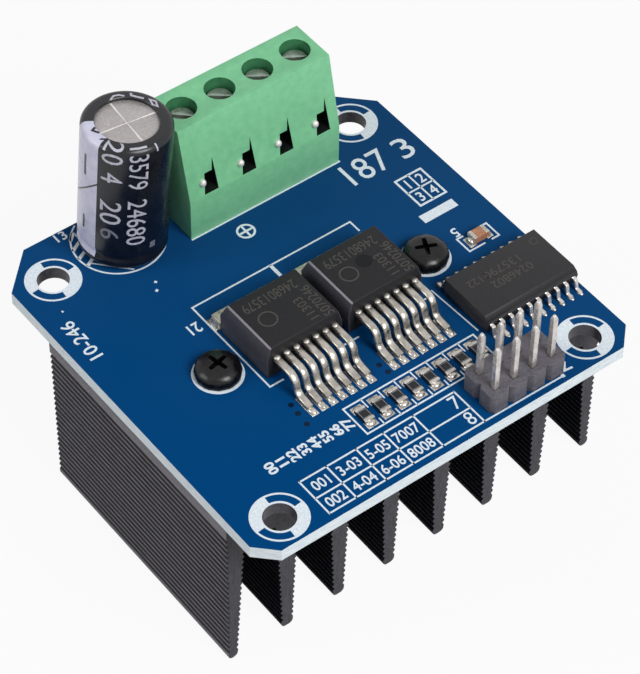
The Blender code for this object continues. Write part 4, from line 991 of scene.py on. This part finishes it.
def makeHeader():
    refine("header_insulator", "header_moulding", [headerBlack], header["soften"])
    for number in headerPins:
        refine(f"header_pin_{number}", f"square_pin_{number}", [pinBright], header["pinSoften"])


makeHeader()
print("header made")


# Solder on the board: thin lands under the ends of the parts, with a flattened bead on each

solder = {"sunk": 0.02, "land": 0.06, "soften": 0.02, "tuck": 0.3, "waist": 0.3, "rise": 0.75}


def addSolder(name, bm):
    addPiece(name, bm, [solderTin], sharp=60)


def landInto(bm, left, right, front, back):
    low = (left, front, boardTop - solder["sunk"])
    boxInto(bm, low, (right, back, boardTop + solder["land"]), solder["soften"])


def filletInto(bm, start, end, out):      # solder that leans on a wall from start to end
    foot, away, out = Vector((*start, boardTop + 0.03)), Vector((*end, boardTop + 0.03)), Vector(out)
    tuck = -out.normalized() * solder["tuck"]
    rows = ((tuck, 0), (out, 0), (out * 0.35, solder["waist"]), (out * 0, solder["rise"]), (tuck, solder["rise"]))
    plateInto(bm, [foot + across + Vector((0, 0, up)) for across, up in rows], away - foot, 0.03)


# Driver packages

lead = {
    "count": 7, "pitch": 1.27, "width": 0.86, "thickness": 0.5, "reach": 5.95, "knee": 3.25, "heel": 3.75,
    "tucked": 0.4, "lift": 0.25, "bend": 1.2, "exit": 2.65, "soften": 0.17, "padFront": 6.95, "padBack": 3.85,
    "padHalf": 0.45,
}
driver = {
    "soften": 0.16, "slugSoften": 0.08, "edgeBand": 0.17, "edgeReach": 0.9, "sideBand": 0.4,
    "shoulder": (0.42, (0.95, 1.0, 0.5)), "toe": (0.45, (0.95, 1.6, 0.6)),
    "tabOver": 0.35, "tabFront": 1.3, "tabBack": 0.5, "tabTop": 0.07, "tabSide": 1.1,
    "sideOut": 0.32, "backOut": 0.4, "lift": 0.006, "ink": 0.02,
    "ring": ((-2.15, -2.35), 0.92, 1.1, 0, 360, 36), "dimple": (5.67, -1.77), "dimpleRadius": 0.95,
    "digits": (
        ("2468013579", (-0.15, 0.1), 1.35, 180, 1, 0, 6.8), ("5070246", (3.55, -3.3), 1.2, 90, 1, 0, 4.9),
        ("11303", (1.95, -3.5), 1.1, 90, 1, 0, 3.4),
    ),
}


def leadPath(front, standing):
    sole = lead["thickness"] / 2
    corners = [
        (front + lead["tucked"], standing + lead["exit"]),
        (front - lead["knee"], standing + lead["exit"]),
        (front - lead["heel"], standing + sole + lead["lift"]),
        (front - lead["reach"], standing + sole),
    ]
    return bentPath(corners, lead["bend"], 6)


def makeDriver(side):
    low, high = nodeBox(f"driver_body_{side}")
    middle = (low.x + high.x) / 2

    def topOrSide(point):
        rim = high.z - driver["edgeBand"]
        # the top bevel along the left edge: painted highlight
        if rim < point.z < high.z - 0.003 and point.x < low.x + driver["edgeReach"]:
            return 1
        # the left and right sides get the lighter copy, painted light
        return 2 if abs(point.x - middle) > (high.x - low.x) / 2 - driver["sideBand"] and point.z < rim else 0

    finishes = [resinBlack, resinHighlight, resinLitSide]
    body, slug = f"driver_body_{side}", f"driver_slug_{side}"
    refine(body, f"driver_moulding_{side}", finishes, driver["soften"], choose=topOrSide)
    refine(slug, f"heat_slug_{side}", [slugTin], driver["slugSoften"])
    for number in range(1, lead["count"] + 1):
        node = f"driver_{side}_lead_{number}"
        leadLow, leadHigh = nodeBox(node)
        x = (leadLow.x + leadHigh.x) / 2
        bm = bmesh.new()
        path = leadPath(low.y, leadLow.z)
        stripInto(bm, path, lead["width"], lead["thickness"], x, lead["soften"])
        addPiece(f"formed_lead_{side}_{number}", bm, [tinBright], (node,), sharp=45)
    leadSolder(side, middle, low)
    tabSolder(side)
    driverMarks(side, middle, high.z)


def leadSolder(side, middle, low):
    bm = bmesh.new()
    for number in range(lead["count"]):
        x = middle + (number - (lead["count"] - 1) / 2) * lead["pitch"]
        beadInto(bm, (x, low.y - 0.12, low.z + lead["exit"] + 0.24), *driver["shoulder"])
        landInto(bm, x - lead["padHalf"], x + lead["padHalf"], low.y - lead["padFront"], low.y - lead["padBack"])
        beadInto(bm, (x, low.y - lead["reach"] - 0.2, boardTop + 0.08), *driver["toe"])
    addSolder(f"lead_solder_{side}", bm)


def tabSolder(side):
    low, high = nodeBox(f"driver_slug_{side}")
    bm = bmesh.new()
    near = (low.x - driver["tabOver"], high.y - driver["tabFront"], boardTop - solder["sunk"])
    far = (high.x + driver["tabOver"], high.y + driver["tabBack"], boardTop + driver["tabTop"])
    boxInto(bm, near, far, 0.03)
    for x, out in ((low.x, -driver["sideOut"]), (high.x, driver["sideOut"])):
        filletInto(bm, (x, high.y - driver["tabSide"]), (x, high.y), (out, 0, 0))
    filletInto(bm, (low.x, high.y), (high.x, high.y), (0, driver["backOut"], 0))
    addSolder(f"tab_solder_{side}", bm)


def packageMarks(part, x, y, top):      # its rows are as in the board's print, from the package's own middle
    bm = bmesh.new()
    for row in part["digits"]:
        digitsInto(bm, *row)
    bandInto(bm, *part["ring"])
    bmesh.ops.translate(bm, vec=(x, y, 0), verts=bm.verts)
    inkUp(bm, top + part["lift"], part["ink"])
    return bm


def driverMarks(side, middle, top):
    bm = packageMarks(driver, middle, 0, top)
    if side == "right":
        radius = driver["dimpleRadius"]
        disc = [(0, 0.007), (radius, 0.007), (radius, -0.013), (0, -0.013)]
        turnedInto(bm, disc, (*driver["dimple"], top), 36, finish=1)
    addPiece(f"driver_mark_{side}", bm, [resinMark, resinDark])


for side in sides:
    makeDriver(side)
print("drivers made")


# Buffer chip

chip = {
    "soften": 0.07, "reach": 1.4, "edgeBand": 0.08, "edgeReach": 0.6, "leads": 10, "pitch": 1.27,
    "lift": 0.006, "ink": 0.02, "bead": (0.34, (0.85, 1.7, 0.6), 14, 8),
    "ring": ((5.0, 2.2), 0.38, 0.5, 0, 360, 28),
    "digits": (
        ("135790", (-0.2, 1.3), 1.1, 180, 1.1), ("0246802", (0, -0.3), 1.1, 180), ("1122", (-3.6, 1.3), 1.0, 180),
    ),
}


def makeChip():
    low, high = nodeBox("buffer_chip")
    middle = (low + high) / 2
    front, back = low.y + chip["reach"], high.y - chip["reach"]

    def bodyOrLead(point):
        if front - 0.02 < point.y < back + 0.02:
            # the top bevel along the front: painted highlight
            onEdge = high.z - chip["edgeBand"] < point.z < high.z - 0.002 and point.y < front + chip["edgeReach"]
            return 2 if onEdge else 0
        return 1

    finishes = [chipBlack, pinBright, resinHighlight]
    refine("buffer_chip", "buffer_moulding", finishes, chip["soften"], choose=bodyOrLead)
    addPiece("buffer_mark", packageMarks(chip, middle.x, middle.y, high.z), [resinMark])
    bm = bmesh.new()
    for number in range(chip["leads"]):
        x = middle.x + (number - (chip["leads"] - 1) / 2) * chip["pitch"]
        for y in (low.y + 0.25, high.y - 0.25):
            beadInto(bm, (x, y, boardTop + 0.03), *chip["bead"])
    addSolder("buffer_solder", bm)


makeChip()
print("buffer chip made")


# Chip resistors and the ceramic chip

resistor = {
    "places": range(1, 9), "end": 0.4, "soften": 0.03, "landHalf": 0.7, "landIn": 0.3, "landOut": 0.65, "bead": 0.5,
    "beadOut": 0.12, "beadStretches": ((1.25, 0.95, 0.75), (1.25, 0.95, 0.5)), "markHalf": 0.5, "markWidth": 0.06,
}
ceramic = {
    "end": 0.45, "soften": 0.06, "landHalf": 0.75, "landIn": 0.3, "landOut": 0.55, "bead": 0.5,
    "beadOut": 0.1, "beadStretches": ((0.8, 1.25, 1.1), (0.8, 1.25, 1.1)),
}


def chipPart(beads, node, name, part, axis, finish):      # axis is 0 or 1, the way from end to end
    low, high = nodeBox(node)
    side = (low[1 - axis] + high[1 - axis]) / 2

    def bodyOrEnd(point):
        return 0 if low[axis] + part["end"] - 0.01 < point[axis] < high[axis] - part["end"] + 0.01 else 1

    refine(node, name, [finish, solderTin], part["soften"], choose=bodyOrEnd)
    for edge, way, stretch in zip((low[axis], high[axis]), (-1, 1), part["beadStretches"]):
        spans = [sorted((edge - way * part["landIn"], edge + way * part["landOut"]))]
        spans.insert(1 - axis, [side - part["landHalf"], side + part["landHalf"]])
        landInto(beads, *spans[0], *spans[1])
        spot = [edge + way * part["beadOut"], boardTop + 0.05]
        spot.insert(1 - axis, side)
        beadInto(beads, spot, part["bead"], stretch)


def makeResistors():
    beads, squares = bmesh.new(), bmesh.new()
    half = resistor["markHalf"]
    for number in resistor["places"]:
        node = f"resistor_{number}"
        chipPart(beads, node, f"glazed_{node}", resistor, 1, resistorBlack)
        middle = nodeMiddle(node)
        box = (middle.x - half, middle.x + half, middle.y - half, middle.y + half)
        frameInto(squares, box, resistor["markWidth"])
    addSolder("resistor_solder", beads)
    inkUp(squares, nodeBox(node)[1].z - 0.03, 0.02)
    addPiece("resistor_marks", squares, [resistorMark])


def makeCeramic():
    beads = bmesh.new()
    chipPart(beads, "chip_capacitor", "ceramic_chip", ceramic, 0, ceramicTan)
    addSolder("ceramic_solder", beads)


makeResistors()
makeCeramic()
print("chip parts made")


# Solder under the board, where the through-hole leads come out

joint = {"header": (0.95, 0.35), "block": (1.35, 0.62), "capacitor": (1.1, 0.34), "drop": 1.15}      # the foot, the tip


def makeJoints():
    bm = bmesh.new()
    joints = [(x, y, *joint["header"]) for x, y in headerPlaces]
    joints += [(x, legY, *joint["block"]) for x in poleX]
    joints += [(x, y, *joint["capacitor"]) for x, y in capacitorLeadPlaces]
    for x, y, wide, slim in joints:
        profile = [(0, 0.01), (wide, 0.01), (wide, -0.05), (wide * 0.7, -0.22), (slim * 1.25, -0.7)]
        profile += [(slim, -1.0), (slim * 0.6, -1.12), (0, -joint["drop"])]
        turnedInto(bm, profile, (x, y, boardLow.z), 28)
    addSolder("underside_joints", bm)


makeJoints()
print("joints soldered")


# Stage: floor, light and camera. Its places are in metres

stage = {
    "floor": 3, "grey": 0.55, "glow": 0.93, "fill": 0.25, "aim": (0, 0, 0.02),
    "lamps": (("keyLamp", (0.08, -0.52, 0.55), 0.4, 4.6), ("sideLamp", (-0.6, 0.25, 0.45), 0.4, 1.7)),
}


def seenDirectly(owner):      # 1 for what the camera, gloss and glass see, and 0 for the light on the object
    rays = addNode(owner, "ShaderNodeLightPath")
    total = rays.outputs["Is Camera Ray"]
    for name in ("Is Glossy Ray", "Is Transmission Ray"):
        total = reckon(owner, "MAXIMUM", total, rays.outputs[name])
    return total


def makeFloor():
    floor = bpy.data.objects.new("floor", bpy.data.meshes.new("floor"))
    bm = bmesh.new()
    bmesh.ops.create_grid(bm, x_segments=1, y_segments=1, size=stage["floor"])
    bm.to_mesh(floor.data)
    bm.free()
    scene.collection.objects.link(floor)
    material = bpy.data.materials.new("paleFloor")
    material.use_nodes = True
    nodes = material.node_tree.nodes
    nodes.remove(nodes["Principled BSDF"])
    plain = addNode(material, "ShaderNodeBsdfDiffuse", Color=(stage["grey"], stage["grey"], stage["grey"], 1))
    glow = addNode(material, "ShaderNodeEmission", Color=(1, 1, 1, 1), Strength=1.0)
    mix = addNode(material, "ShaderNodeMixShader")
    link(material, reckon(material, "MULTIPLY", seenDirectly(material), stage["glow"]), mix.inputs["Fac"])
    link(material, plain.outputs["BSDF"], mix.inputs[1])
    link(material, glow.outputs["Emission"], mix.inputs[2])
    link(material, mix.outputs["Shader"], nodes["Material Output"].inputs["Surface"])
    floor.data.materials.append(material)


def makeWorld():
    world = bpy.data.worlds.new("studio")
    world.use_nodes = True
    scene.world = world
    back = world.node_tree.nodes["Background"]
    back.inputs["Color"].default_value = (1, 1, 1, 1)
    level = addNode(world, "ShaderNodeMapRange", **{"To Min": stage["fill"], "To Max": 1.0})
    link(world, seenDirectly(world), level.inputs["Value"])
    link(world, level.outputs["Result"], back.inputs["Strength"])


def makeLamp(name, spot, size, power):
    lamp = bpy.data.lights.new(name, "AREA")
    lamp.shape = "DISK"
    lamp.size = size
    lamp.energy = power
    holder = bpy.data.objects.new(name, lamp)
    holder.location = spot
    holder.rotation_euler = (Vector(stage["aim"]) - Vector(spot)).to_track_quat("-Z", "Y").to_euler()
    scene.collection.objects.link(holder)


view = {      # angles in degrees, and the rest in millimetres
    "azimuth": -37.986, "elevation": 48.175, "roll": 0.854, "distance": 323.33,
    "shift": (0.945, -3.69), "focal": 160.74, "sensor": 36,
}


def makeCamera():
    azimuth, elevation, roll = (math.radians(view[key]) for key in ("azimuth", "elevation", "roll"))
    level = math.cos(elevation)
    back = Vector((math.sin(azimuth) * level, -math.cos(azimuth) * level, math.sin(elevation)))
    right = (-back).cross(Vector((0, 0, 1))).normalized()
    up = right.cross(-back)
    across = right * math.cos(roll) + up * math.sin(roll)
    above = up * math.cos(roll) - right * math.sin(roll)
    spot = back * view["distance"] + across * view["shift"][0] + above * view["shift"][1]
    lens = bpy.data.cameras.new("camera")
    lens.lens = view["focal"]
    lens.sensor_width = view["sensor"]
    lens.clip_start = 0.01
    camera = bpy.data.objects.new("camera", lens)
    turn = Matrix((across, above, back)).transposed().to_4x4()
    camera.matrix_world = Matrix.Translation((spot + Vector((0, 0, boardTop))) * mm) @ turn
    scene.collection.objects.link(camera)
    scene.camera = camera


makeFloor()
makeWorld()
for lamp in stage["lamps"]:
    makeLamp(*lamp)
makeCamera()
scene.view_settings.view_transform = "Standard"
print("stage set")
